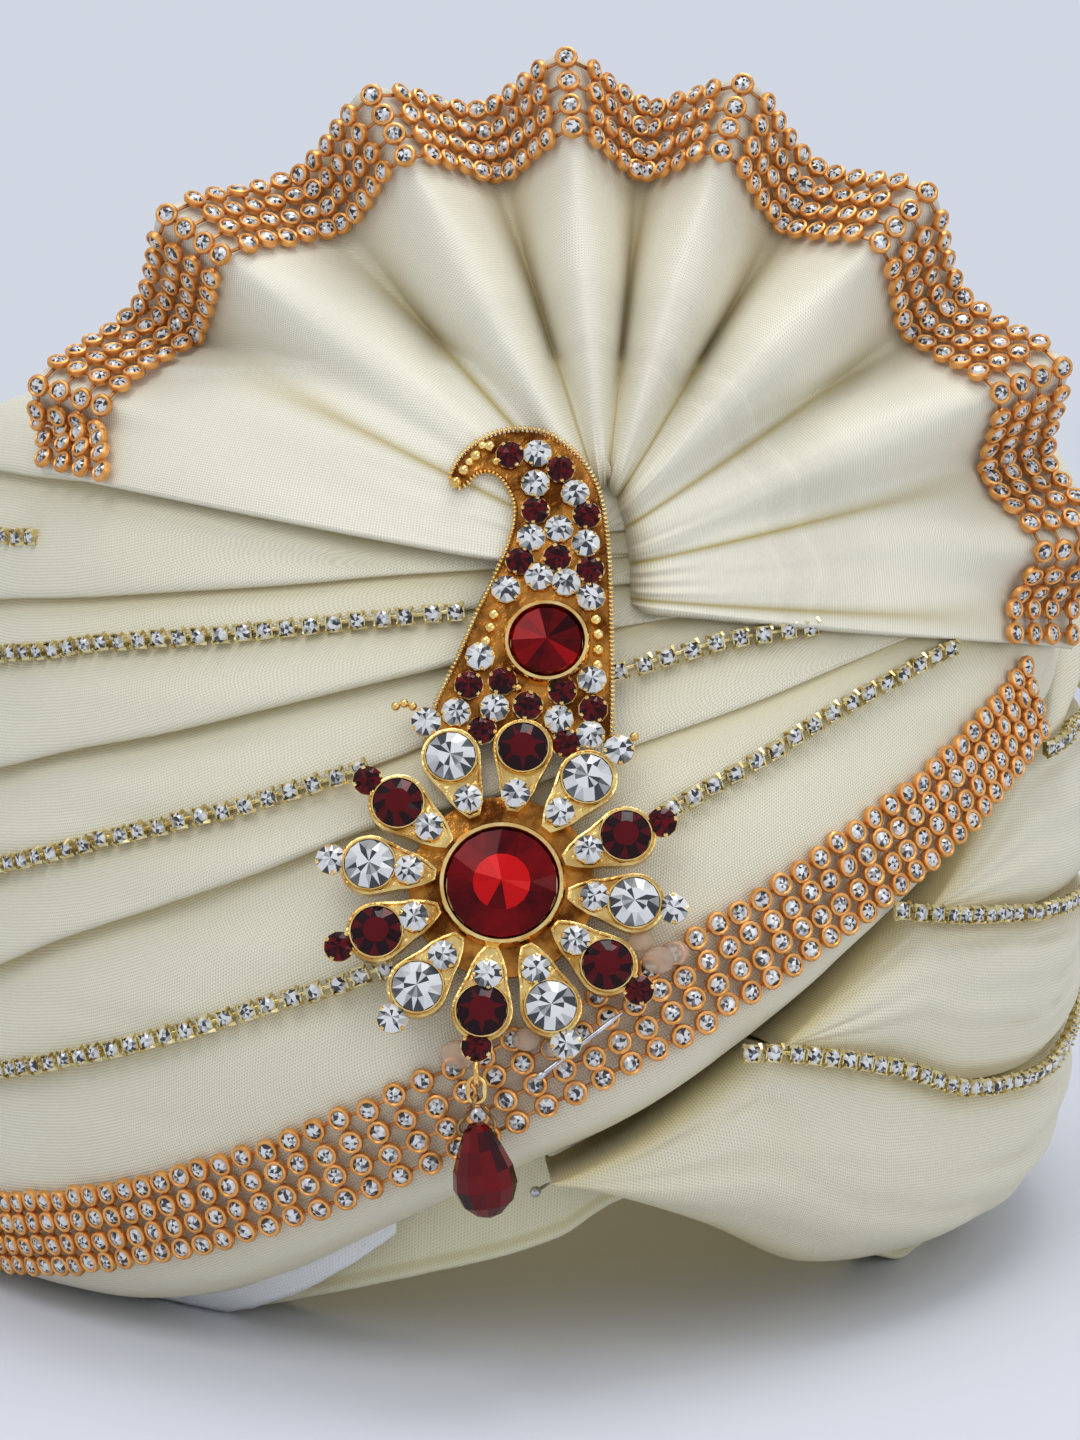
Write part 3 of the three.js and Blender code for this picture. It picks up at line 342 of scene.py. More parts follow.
def mottle(nodes, links, place, scale, detail=3, roughness=0.55):
    noise = nodes.new("ShaderNodeTexNoise")
    noise.inputs["Scale"].default_value = scale
    noise.inputs["Detail"].default_value = detail
    noise.inputs["Roughness"].default_value = roughness
    links.new(place, noise.inputs["Vector"])
    return noise.outputs["Fac"]


def ramp(nodes, links, value, stops):
    node = nodes.new("ShaderNodeValToRGB")
    elements = node.color_ramp.elements
    while len(elements) < len(stops):
        elements.new(0.5)
    for element, (position, colour) in zip(elements, stops):
        element.position = position
        element.color = (*colour, 1) if len(colour) == 3 else colour
    links.new(value, node.inputs["Fac"])
    return node.outputs["Color"]


def raise_surface(nodes, links, shader, height, strength, distance):
    bump = nodes.new("ShaderNodeBump")
    bump.inputs["Strength"].default_value = strength
    bump.inputs["Distance"].default_value = distance
    links.new(height, bump.inputs["Height"])
    links.new(bump.outputs["Normal"], shader.inputs["Normal"])


def threads(nodes, links, place, per_mm, across):
    """Threads of a plain weave one way, from 0 between them to 1 on them, with an uneven spin."""
    split = nodes.new("ShaderNodeSeparateXYZ")
    links.new(place, split.inputs[0])
    run = split.outputs[0 if across else 1]
    wander = mottle(nodes, links, place, 260, 2)
    shifted = sums(nodes, links, "ADD", sums(nodes, links, "MULTIPLY", run, per_mm * 1000 * 2 * math.pi),
                   sums(nodes, links, "MULTIPLY", wander, 1.6))
    wave = sums(nodes, links, "SINE", shifted)
    return sums(nodes, links, "ADD", sums(nodes, links, "MULTIPLY", wave, 0.5), 0.5)


def cloth_finish(name, light, shade_and_mottle_colour, rough, per_mm, weave_depth, sheen, grain=0.1):
    material, nodes, links, shader = finish_of(name)
    layout = nodes.new("ShaderNodeUVMap")
    layout.uv_map = "weave"
    place = layout.outputs["UV"]
    warp = threads(nodes, links, place, per_mm, True)
    weft = threads(nodes, links, place, per_mm * 0.92, False)
    weave = sums(nodes, links, "MULTIPLY", warp, weft)
    holes = sums(nodes, links, "MULTIPLY", sums(nodes, links, "SUBTRACT", 1.0, warp),
                 sums(nodes, links, "SUBTRACT", 1.0, weft))
    broad = nodes.new("ShaderNodeTexCoord").outputs["Object"]
    patch = mottle(nodes, links, broad, 24, 4)
    slub = mottle(nodes, links, place, 900, 2)
    # Painted shade: the crease attribute blends the cloth towards its shade colour in the folds.
    depth = nodes.new("ShaderNodeAttribute")
    depth.attribute_name = "painted_crease_shade"
    crease_shaded = blend_colours(nodes, links, depth.outputs["Fac"], light, shade_and_mottle_colour)
    soft = blend_colours(nodes, links, sums(nodes, links, "MULTIPLY", patch, 0.16), crease_shaded, shade_and_mottle_colour)
    dark = sums(nodes, links, "MULTIPLY", holes, grain)
    woven = blend_colours(nodes, links, dark, soft, tuple(c * 0.5 for c in shade_and_mottle_colour))
    links.new(woven, shader.inputs["Base Color"])
    uneven = sums(nodes, links, "ADD", rough - 0.06, sums(nodes, links, "MULTIPLY", slub, 0.12))
    links.new(uneven, shader.inputs["Roughness"])
    shader.inputs["Sheen Weight"].default_value = sheen
    shader.inputs["Sheen Roughness"].default_value = 0.35
    height = sums(nodes, links, "ADD", weave, sums(nodes, links, "MULTIPLY", slub, 0.5))
    raise_surface(nodes, links, shader, height, 0.5, weave_depth)
    return material


def metal_finish(name, bright, dull, rough, pits=0.00006, scale=900.0, metallic=1.0):
    material, nodes, links, shader = finish_of(name)
    place = nodes.new("ShaderNodeTexCoord").outputs["Object"]
    worn = mottle(nodes, links, place, scale * 0.4, 4)
    share = ramp(nodes, links, worn, [(0.38, (0, 0, 0)), (0.62, (1, 1, 1))])
    links.new(blend_colours(nodes, links, share, dull, bright), shader.inputs["Base Color"])
    shader.inputs["Metallic"].default_value = metallic
    fine = mottle(nodes, links, place, scale, 3)
    links.new(sums(nodes, links, "ADD", rough - 0.06, sums(nodes, links, "MULTIPLY", fine, 0.12)),
              shader.inputs["Roughness"])
    raise_surface(nodes, links, shader, fine, 0.35, pits)
    return material


def stone_finish(name, dark, light, shine=0.5, stops=(0.3, 0.5, 0.72), rough=0.04):
    """Foil-backed glass: each facet has a painted reflection tone of its own, from dark to bright."""
    material, nodes, links, shader = finish_of(name)
    painted_light_tone = nodes.new("ShaderNodeAttribute")
    painted_light_tone.attribute_name = "painted_reflection"
    place = nodes.new("ShaderNodeTexCoord").outputs["Object"]
    cloud = mottle(nodes, links, place, 500, 2)
    value = sums(nodes, links, "ADD", painted_light_tone.outputs["Fac"], sums(nodes, links, "MULTIPLY", cloud, 0.16))
    middle = tuple((a + b) / 2 for a, b in zip(dark, light))
    reflection_tones = ramp(nodes, links, value, list(zip(stops, (dark, middle, light))))
    links.new(reflection_tones, shader.inputs["Base Color"])
    shader.inputs["Roughness"].default_value = rough
    shader.inputs["Metallic"].default_value = 0.15
    shader.inputs["Specular IOR Level"].default_value = shine
    return material


# Each cloth's second colour is painted shade for its creases. It also tints the random mottling and the gaps
# between threads.
cream_cloth = cloth_finish("cream_cloth", (0.82, 0.78, 0.625), (0.70, 0.58, 0.25),
                           0.6, 1.9, 0.00022, 0.2, 0.62)
cream_satin = cloth_finish("cream_satin", (0.90, 0.86, 0.705), (0.46, 0.35, 0.10),
                           0.4, 2.0, 0.00014, 0.25, 0.45)
lining_cloth = cloth_finish("lining_cloth", (0.86, 0.81, 0.58), (0.66, 0.58, 0.30),
                            0.75, 1.8, 0.00016, 0.1, 0.4)
white_felt = cloth_finish("white_felt", (0.86, 0.86, 0.85), (0.72, 0.72, 0.70),
                          0.85, 1.3, 0.00020, 0.2, 0.3)
copper_cup = metal_finish("copper_cup", (0.90, 0.46, 0.15), (0.72, 0.32, 0.08), 0.38, 0.00004, 900, 0.85)
copper_wire = metal_finish("copper_wire", (0.60, 0.29, 0.11), (0.36, 0.15, 0.05), 0.42)
pale_gold = metal_finish("pale_gold", (0.86, 0.74, 0.40), (0.60, 0.46, 0.18), 0.27)
rich_gold = metal_finish("rich_gold", (1.0, 0.76, 0.32), (0.78, 0.46, 0.13), 0.16, 0.00012, 700)
hammered_gold = metal_finish("hammered_gold", (1.0, 0.74, 0.28), (0.55, 0.28, 0.06), 0.17, 0.0011, 420)
# A paler copy of the gold, giving the rope edge a painted highlight.
painted_highlight_gold = metal_finish("painted_highlight_gold", (1.0, 0.85, 0.50), (0.95, 0.68, 0.28), 0.2)
# The backing's orange-brown is its own colour. Its dark tone is painted shade between the stones and petals.
shaded_backing_gold = metal_finish("shaded_backing_gold", (0.56, 0.23, 0.042), (0.11, 0.032, 0.006), 0.22, 0.0008, 420)
bronze_wire = metal_finish("bronze_wire", (0.42, 0.27, 0.12), (0.16, 0.09, 0.04), 0.36)
steel_wire = metal_finish("steel_wire", (0.70, 0.71, 0.73), (0.42, 0.43, 0.45), 0.24)
# The stones' tones across their facets are painted reflections: dark and bright glints fixed on the facets.
red_stone = stone_finish("red_stone", (0.012, 0.0, 0.001), (0.17, 0.001, 0.004), 0.22, (0.3, 0.7, 1.0))
red_heart = stone_finish("red_heart", (0.022, 0.0, 0.001), (0.54, 0.004, 0.005), 0.14, (0.12, 0.5, 0.9))
clear_stone = stone_finish("clear_stone", (0.03, 0.031, 0.035), (0.74, 0.74, 0.72), 0.7, (0.34, 0.5, 0.7))
red_drop = stone_finish("red_drop", (0.020, 0.0, 0.001), (0.26, 0.002, 0.004), 0.3, (0.2, 0.6, 0.95), 0.03)

dried_glue, _, _, glue_shader = finish_of("dried_glue")
glue_shader.inputs["Base Color"].default_value = (0.92, 0.74, 0.56, 1)
glue_shader.inputs["Roughness"].default_value = 0.12
glue_shader.inputs["Transmission Weight"].default_value = 0.65
glue_shader.inputs["IOR"].default_value = 1.3


# Wound cloth: the pleated swath, the rolls and the crown

FOLD_HEIGHT = {"third": 1.6, "c": 3.5, "second": 1.6, "b": 3.6, "first": 2.0, "a": 2.6, "fold": 3.2}
LONG_FOLDS = ("c", "b", "a", "fold")
CHAIN_LINES = ("first", "second", "third")
BROOCH_PLACE = (-1.2, 83.0)


def long_wrinkles(run, height, seed):
    """Shallow wrinkles that run along a pleat, in millimetres."""
    broad = soft_noise(run / 46, height / 6.5, seed)
    fine = soft_noise(run / 21, height / 2.6, seed + 1)
    creases = -np.maximum(0, soft_noise(run / 60, height / 3.4, seed + 2) - 0.35) * 1.2
    return 0.34 * broad + 0.13 * fine + 0.5 * creases


def brooch_dent(angle, z):
    far = np.hypot((angle - BROOCH_PLACE[0]) * 2.2, z - BROOCH_PLACE[1] - 8)
    return -1.7 * np.exp(-((far / 36) ** 4))


def fold_height(line, angles):
    fade = 1 - 0.72 * step_up(angles, -2, 12) if line in LONG_FOLDS else 1.0
    return FOLD_HEIGHT.get(line, 0.0) * fade


def make_swath():
    angles = np.concatenate([np.arange(SWATH_FROM, -60, 1.15), np.arange(-60, SWATH_TO, 0.62), [SWATH_TO]])
    run = np.radians(angles) * 122
    rows = []
    shades = []

    def lay(z, lift, shade):
        rim = np.broadcast_to(np.asarray(z, float), angles.shape)
        plain = skin_point(angles, rim)
        rows.append(skin_point(angles, rim, lift + hub_dimple(plain) + brooch_dent(angles, rim)))
        shades.append(np.broadcast_to(np.asarray(shade, float), angles.shape))

    edge = pleat["edge"](angles)
    rows.append(inner_point(angles, edge + 1.5))
    shades.append(np.ones_like(angles))
    rows.append(inner_point(angles, edge + 1.5) * 0.45 + skin_point(angles, edge, -9.0) * 0.55)
    shades.append(np.ones_like(angles))
    counts = [13, 16, 15, 12, 14, 14, 9, 14, 12]
    for part, count in enumerate(counts):
        low_line, high_line = PLEAT_LINES[part], PLEAT_LINES[part + 1]
        low, high = pleat[low_line](angles), pleat[high_line](angles)
        width = high - low
        scale = np.minimum(1, width / 9)
        below = fold_height(low_line, angles) * scale
        above = fold_height(high_line, angles) * scale
        if below.max() > 0:
            s = below / 2.6
            lay(low + 1.7 * s, -below * 0.55, 1.0)
            lay(low + 1.2 * s, -below * 0.2, 1.0)
            lay(low - 0.1 * s, -below * 0.02, 0.8)
            lay(low - 0.45 * s, below * 0.3, 0.25)
        belly = 1.1 * np.minimum(1, width / 16)
        for t in np.linspace(0, 1, count, endpoint=part == len(counts) - 1):
            z = low + width * t
            if part == 0:
                lift = bulge(t, 9, 2.2) * scale
                lift = lift * (0.3 if t > 0.5 else 1.0)
            else:
                lift = below * 0.5 * (1 - t) ** 1.2 - above * 0.5 * t ** 1.4
                lift = lift + belly * math.sin(math.pi * t) ** 0.8
            if part == len(counts) - 1:
                lift = lift + bulge(t, 0, 5) * (t > 0.5)
            quiet = min(1.0, 6 * min(t, 1 - t) + 0.25)
            lift = lift + long_wrinkles(run, z, 11) * scale * quiet
            near_chain = 0
            if high_line in CHAIN_LINES:
                near_chain = np.exp(-(((1 - t) * width - 1.5) / 2.2) ** 2)
            lift = lift + 0.35 * soft_noise(run / 5.2, z / 20, 31) * near_chain * scale
            # Painted shade: full where the cloth tucks under a fold, strong in the recess under each
            # overhanging fold edge, and at the foot of the lowest part.
            swath_crease_shade = np.exp(-((1 - t) * width / 2.4)) if above.max() > 0 else 0.0
            lay(z, lift, np.clip(0.75 * swath_crease_shade + 0.25 * (part == 0) * (t < 0.2), 0, 1))
    rows.append(inner_point(angles, np.full_like(angles, FOLDS_TOP - 2)))
    shades.append(np.ones_like(angles))
    rows.append(inner_point(angles, np.full_like(angles, FOLDS_TOP - 7)))
    shades.append(np.ones_like(angles))
    grid = np.stack(rows)
    shade = np.stack(shades)
    start, end = grid[:, :1].copy(), grid[:, -1:].copy()
    for side, angle in ((start, SWATH_FROM - 0.6), (end, SWATH_TO + 0.5)):
        tucked = inner_point(np.full(len(side), angle), side[:, 0, 2])
        side[:, 0] = side[:, 0] * 0.25 + tucked * 0.75
    grid = np.concatenate([start, grid, end], axis=1)
    shade = np.concatenate([shade[:, :1], shade, shade[:, -1:]], axis=1)
    piece = cloth_piece("swath", grid, cream_cloth, 0.5, shade=shade)
    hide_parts("front_swath")
    return piece


ROLLS = [
    ("roll_bottom", "low", "third", 3.5, 14, 41), ("roll_lower", "third", "second", 23.0, 7, 51),
    ("roll_upper", "second", "first", 38.0, 7, 61), ("roll_top", "first", "top", 55.0, 7, 71),
]
ROLL_END = 212.0


def roll_span(low_line, high_line, angle):
    low = groove[low_line](angle) + (0 if low_line == "low" else 0.2)
    high = np.full_like(angle, FOLDS_TOP) if high_line == "top" else groove[high_line](angle) - 0.2
    swath = np.where(angle <= SWATH_TO, pleat["edge"](angle) - 3.2, FOLDS_TOP)
    return low, np.maximum(low + 0.6, np.minimum(high, swath))


def make_roll(name, low_line, high_line, start, under, seed):
    angles = np.concatenate([np.arange(start, 125, 0.75), np.arange(125, ROLL_END, 1.6), [ROLL_END]])
    run = np.radians(angles) * 118
    low, high = roll_span(low_line, high_line, angles)
    width = high - low
    shallow = np.minimum(1, width / 22)
    rows = []
    shades = []
    for share in (0.5, 0.8):
        rows.append(inner_point(angles, low + 0.4) * (1 - share) + skin_point(angles, low, -under) * share)
        shades.append(np.ones_like(angles))
    for t in (1 - np.cos(np.linspace(0, math.pi, 38))) / 2:
        out = bulge(t, under * (1 if low_line == "low" else shallow), 7 * shallow)
        z = low + width * t
        soft = np.minimum(1, 5 * min(t, 1 - t) + 0.1)
        swell = 1.5 * soft_noise(run / 55, t * 3.1 + 0.4 * soft_noise(run / 80, 0.5, seed + 5), seed)
        pleats = 0.75 * soft_noise(run / 70, t * 9, seed + 1) + long_wrinkles(run, z, seed + 2)
        valley = np.abs(soft_noise(run / 90, t * 4.2, seed + 3))
        pinch = -0.9 * np.exp(-((valley / 0.10) ** 2))
        lift = out + (swell + pleats + pinch) * soft * shallow
        rows.append(skin_point(angles, z, lift))
        # Painted shade: darker towards the roll's edges, weaker on the top roll's upper half, with a little
        # in its valleys.
        edge = np.exp(-min(t, 1 - t) * width / 2.6)
        edge_shade = 0.15 if high_line == "top" and t > 0.5 else 0.8
        shades.append(np.clip(edge_shade * edge + 0.10 * np.exp(-((valley / 0.09) ** 2)) * soft, 0, 1))
    rows.append(inner_point(angles, high - 0.4) * 0.7 + skin_point(angles, high, -7.0) * 0.3)
    shades.append(np.ones_like(angles))
    grid = np.stack(rows)
    shade = np.stack(shades)
    radius = np.hypot(grid[..., 0] / (CORE[0] + 1.4), grid[..., 1] / (CORE[1] + 1.4))
    inside = (radius < 1) & (grid[..., 2] < CORE_TOP)
    moved_out = grid[..., :2] / np.maximum(radius, 0.01)[..., None]
    grid[..., :2] = np.where(inside[..., None], moved_out, grid[..., :2])
    tip = grid[:, -1:].copy()
    tucked = inner_point(np.full(len(tip), ROLL_END + 0.5), tip[:, 0, 2])
    tip[:, 0] = tip[:, 0] * 0.25 + tucked * 0.75
    grid = np.concatenate([grid, tip], axis=1)
    shade = np.concatenate([shade, shade[:, -1:]], axis=1)
    piece = cloth_piece(name + "_cloth", grid, cream_cloth, 0.5, shade=shade)
    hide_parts(name)
    return piece


def make_crown():
    turn = np.linspace(0, 360, 300, endpoint=False)
    profile = np.array([
        (1.2, 176), (9, 175.9), (18, 175.4), (30, 174.3), (42, 172.6), (54, 169.6), (62, 166.6), (67, 164),
        (71, 160.5), (73.2, 156.5), (74, 152.5), (71, 150.4),
    ])
    steps = np.linspace(0, len(profile) - 1, 46)
    radius = np.interp(steps, np.arange(len(profile)), profile[:, 0])
    height = np.interp(steps, np.arange(len(profile)), profile[:, 1])
    r, angle = np.meshgrid(radius, turn, indexing="ij")
    under_rolls = step_up(angle, 58, 66) * (1 - step_up(angle, 202, 209))
    r = r + under_rolls * np.maximum(0, r - 64) * 1.35
    z = np.repeat(height[:, None], len(turn), axis=1)
    gathers = 1.1 * (r / 74) * np.sin(np.radians(10 * angle + 24 * np.sin(np.radians(2 * angle))))
    fine = 0.7 * (r / 74) ** 0.7 * soft_noise(angle / 5.0, r / 60, 83)
    z = z + np.where(z > 160, gathers + fine, 0)
    depth = np.where(np.cos(np.radians(angle)) > 0, 68 / 74, 88 / 74)
    grid = points(r * np.sin(np.radians(angle)), -r * depth * np.cos(np.radians(angle)), z)
    centre = np.repeat(np.array([[[0.0, 0.0, 176.0]]]), len(turn), axis=1)
    grid = np.concatenate([centre, grid])
    # Painted shade in the hollows of the gathers, deeper towards the rim.
    valley = np.clip(0.5 - (gathers + fine) / 2.4, 0, 1) * 0.6 * (r / 74)
    shade = np.concatenate([np.zeros((1, len(turn))), valley])
    piece = cloth_piece("crown_cloth", grid, cream_cloth, 0.6, shade, turned=True, round_about=True)
    merge_seams(piece, face_out=False)
    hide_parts("crown_top")
    return piece


# Lining, cap and interlining

def make_cap():
    """The hard cap under the cloth, as one even shell, raised in an arch over the brow."""
    turn = np.linspace(-180, 180, 160, endpoint=False)
    straight = [(1.0, z) for z in (0, 6, 14, 24, 40, 60, 80, 95)]
    dome = [(math.cos(math.radians(a)), 95 + 55 * math.sin(math.radians(a))) for a in range(9, 90, 9)]
    profile = straight + dome
    outer = [around(turn, (CAP[0] + CAP_WALL) * r, (CAP[1] + CAP_WALL) * r, z) for r, z in profile]
    inner = [around(turn, CAP[0] * r, CAP[1] * r, z - (0 if z < 96 else CAP_WALL)) for r, z in profile]
    rise = arch_height(turn) * 1.15
    for ring in outer + inner:
        ring[:, 2] += rise * np.clip(1 - ring[:, 2] / 34, 0, 1)
    grid = np.stack([*inner[::-1], *outer])
    top_in, top_out = (np.broadcast_to(np.array([0, 0, z]), (1, len(turn), 3)) for z in (147.0, 150.0))
    cap = np.concatenate([top_in, grid, top_out])
    piece = new_piece("cap_shell", woven_mesh("cap_shell", cap, round_about=True), lining_cloth)
    merge_seams(piece, face_out=True)
    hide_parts("cap")
    return piece


def make_lining_band():
    turn = np.linspace(-180, 180, 320, endpoint=False)
    arch = arch_height(turn)
    pucker = 0.22 * soft_noise(turn * 0.45, 0.5, 91)
    heights = [0, 0.8, 1.8, 2.6, 3.4, 6, 12, 24, 44, 66, 86, CORE_TOP - 1, CORE_TOP]
    rows = []
    for wall, side in ((-CORE_WALL, heights[::-1]), (0.0, heights)):
        for z in side:
            level = arch + (CORE_TOP - arch) * z / CORE_TOP if z > 4 else arch + z
            rounded = 0.7 * math.exp(-z / 0.9)
            seam = -0.28 * math.exp(-((z - 2.2) / 0.5) ** 2)
            facing = -1 if wall < 0 else 1
            out = wall + -facing * rounded + (seam + pucker * (z < 20)) * facing
            rows.append(around(turn, CORE[0] + out, CORE[1] + out, level))
    grid = np.stack([*rows, rows[0]])
    shade = np.clip(np.exp(-((grid[..., 2] - arch[None, :] - 2.2) / 0.7) ** 2), 0, 1)
    mesh = woven_mesh("lining_band", grid, round_about=True, shade=shade)
    piece = new_piece("lining_band", mesh, lining_cloth)
    merge_seams(piece, face_out=True)
    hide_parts("inner_band")
    return piece


def make_interlining():
    angle = np.linspace(-36.5, -10, 70)
    top = pleat["edge"](angle) - 1
    reach = np.clip((angle + 37.5) / 28, 0, 1)
    hang = 0.4 + 4.2 * np.sin(reach * np.pi) ** 0.6 * np.minimum(1, np.maximum(top, 0) / 4)
    low = np.maximum(0.3, top - hang + 0.25 * soft_noise(angle * 1.7, 0.5, 97))
    rows = [skin_point(angle, low + (top + 8 - low) * t, -10.5 - 0.8 * t) for t in np.linspace(0, 1, 12)]
    piece = cloth_piece("interlining_strip", np.stack(rows), white_felt, 0.7)
    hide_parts("interlining_edge")
    return piece


# Fan crest

FAN_CLOTH = 1.6
GATHER_WIDE, GATHER_TALL = 4.5, 17.0


def fan_wave(angle, distance, inset):
    """Round lobes with narrow creases by the gather, and sharp folds at the rim."""
    ridges = FAN_RIM[:, 0]
    k = np.clip(np.searchsorted(ridges, angle, side="right"), 1, len(ridges) - 1)
    across = (angle - ridges[k - 1]) / (ridges[k] - ridges[k - 1])
    away = np.clip(np.where(across < 0.5, across * 2, (1 - across) * 2), 0, 1)
    spread = step_up(distance, 42, 84)
    side = np.clip(away / (1 - 0.10 * spread), 0, 1)
    lobed = 2 * (1 - side ** (2.1 - 0.3 * spread)) ** (0.78 + 0.34 * spread) - 1
    eased = np.maximum(0, np.sqrt(np.sin(away * np.pi / 2) ** 2 + 0.016) - 0.1265)
    peaked = 1 - 2.3 * eased ** 1.15
    rim_share = 1 - step_up(inset, 2, 34)
    return lobed + (peaked - lobed) * rim_share


def fan_rim(angle):
    return rim_radius(angle) - 6 * (0.5 - 0.5 * fan_wave(angle, 90.0, 0.0))


def fan_reach(angle):
    """The rim and the gathered end of the cloth at an angle, across and up."""
    turn = np.radians(angle)
    rim = fan_rim(angle)
    across, up = np.sin(turn), np.cos(turn)
    outer = np.stack([FAN_HUB[0] + rim * across, FAN_HUB[2] + rim * up], axis=-1)
    inner = np.stack([FAN_HUB[0] + GATHER_WIDE * across, FAN_HUB[2] + GATHER_TALL * up], axis=-1)
    return outer, inner


def fold_front(x, z):
    height = np.minimum(z, 167)
    side = np.where(x > 0, skin_right(height), skin_left(height))
    part = 1 - (x / side) ** 2
    plain = np.where(part > 0, -skin_front(height) * np.sqrt(np.maximum(part, 0)), 0)
    above = np.maximum(0, z - 168)
    return plain - hub_dimple(points(x, plain - 1, z)) + above * 3


def fan_point(angle, inset, forward=0.0):
    """A point of the fan at an angle, inset from the rim towards the gather."""
    outer, inner = fan_reach(angle)
    inward = unit(inner - outer)
    inset = np.broadcast_to(np.asarray(inset, float), inward.shape[:-1])
    place = outer + inward * inset[..., None]
    x, z = place[..., 0], place[..., 1]
    distance = np.hypot(x - FAN_HUB[0], z - FAN_HUB[2])
    wave = fan_wave(angle, distance, inset)
    depth = 0.103 * distance + 4.4 * np.exp(-((distance - 42) / 24) ** 2)
    depth = depth * (1 - 0.45 * step_up(angle, 74, 88))
    free = FAN_HUB[1] + distance * 0.44 - depth * wave
    rest = fold_front(x, z) - 3.4 - 1.5 * np.exp(-(distance / 30) ** 2)
    gap = free - rest
    y = rest + np.where(gap < -4, gap, np.where(gap > 4, 0, -((4 - gap) ** 2) / 16))
    end = np.clip(1 - (np.linalg.norm(outer - inner, axis=-1) - inset) / 5, 0, 1)
    y = y + 5 * (1 - np.sqrt(1 - end ** 2 * 0.98))
    return points(x, y - forward, z)


def make_fan():
    angle = np.linspace(FAN_FROM, FAN_TO, 430)
    outer, inner = fan_reach(angle)
    length = np.linalg.norm(outer - inner, axis=1)
    rows = []
    shades = []
    for t in np.linspace(0, 1, 78):
        inset = length * (1 - t)
        place = outer + unit(inner - outer) * inset[:, None]
        distance = np.hypot(place[:, 0] - FAN_HUB[0], place[:, 1] - FAN_HUB[2])
        start = length - inset
        wave = fan_wave(angle, distance, inset)
        gather = 0.5 * soft_noise(angle / 2.6, start / 30, 101) * np.exp(-(start / 16) ** 2)
        drape = 0.30 * soft_noise(angle / 8, start / 24, 103)
        drape = drape + 0.15 * soft_noise(angle / 3.3, start / 30, 104)
        calm = np.clip((inset - BAND_WIDTH) / 10 + 0.5, 0.1, 1)
        rows.append(fan_point(angle, inset, gather + drape * calm * step_up(start, 4, 20)))
        # Painted shade in the creases, fading away from the gather, and at the gathered end itself.
        valley = np.clip((0.05 - wave) / 1.0, 0, 1) ** 1.4
        painted_light_tone = valley * (1 - 0.9 * step_up(start, 24, 76)) + 0.4 * np.exp(-(start / 5) ** 2)
        shades.append(np.clip(painted_light_tone, 0, 1))
    grid = np.stack(rows)
    shade = np.stack(shades)
    tucked = grid[:1] + [0, 5.0, 0]
    grid = np.concatenate([tucked, grid])
    shade = np.concatenate([np.ones_like(shade[:1]), shade])
    piece = cloth_piece("fan_cloth", grid, cream_satin, FAN_CLOTH, shade=shade)
    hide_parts("fan_crest")
    return piece


# Small hard parts, modelled once and set many times

def fresh_form(add, **settings):
    """A new form from one of the makers of plain forms, with its place and turn settled."""
    bpy.ops.object.select_all(action="DESELECT")
    add(**settings)
    bpy.ops.object.transform_apply(location=True, rotation=True, scale=True)
    return bpy.context.active_object


def flat_disc(name, sides, radius, height=0.0):
    form = fresh_form(bpy.ops.mesh.primitive_circle_add, vertices=sides, radius=radius, fill_type="NGON",
                      location=(0, 0, height))
    form.name = name
    return form


def box_form(size):
    """A box that stands on its base, left open to editing with all of it selected."""
    box = fresh_form(bpy.ops.mesh.primitive_cube_add, size=1, location=(0, 0, 0.5))
    edit_all()
    bpy.ops.transform.resize(value=size, center_override=(0, 0, 0))
    return box


def turned_form(name, profile, sides):
    """A round form raised ring by ring from a disc."""
    form = flat_disc(name, sides, *profile[0])
    edit_all()
    for (wide, low), (narrow, high) in zip(profile, profile[1:]):
        extrude(high - low)
        bpy.ops.transform.resize(value=(narrow / wide, narrow / wide, 1), center_override=(0, 0, high))
    close_form()
    return form


def cut_stone(name, radius, sides, girdle, crown, table, star):
    """A faceted stone. The ring of its crown is turned half a step, which makes kites and triangles."""
    form = flat_disc(name, sides, radius)
    edit_all()
    extrude(girdle)
    extrude(crown)
    top = (0, 0, girdle + crown)
    bpy.ops.transform.resize(value=(table, table, 1), center_override=top)
    bpy.ops.transform.rotate(value=math.pi / sides, orient_axis="Z", center_override=top)
    bpy.ops.mesh.poke(offset=star)
    bpy.ops.mesh.select_all(action="SELECT")
    bpy.ops.mesh.quads_convert_to_tris()
    close_form()
    return form


def joined(forms):
    bpy.ops.object.select_all(action="DESELECT")
    for form in forms:
        form.select_set(True)
    bpy.context.view_layer.objects.active = forms[0]
    bpy.ops.object.join()
    return bpy.context.active_object


def scrap(*forms):
    for form in forms:
        bpy.data.objects.remove(form, do_unlink=True)


def mesh_parts(form):
    mesh = form.data
    spots = np.empty(len(mesh.vertices) * 3)
    mesh.vertices.foreach_get("co", spots)
    return spots.reshape(-1, 3), [tuple(face.vertices) for face in mesh.polygons]


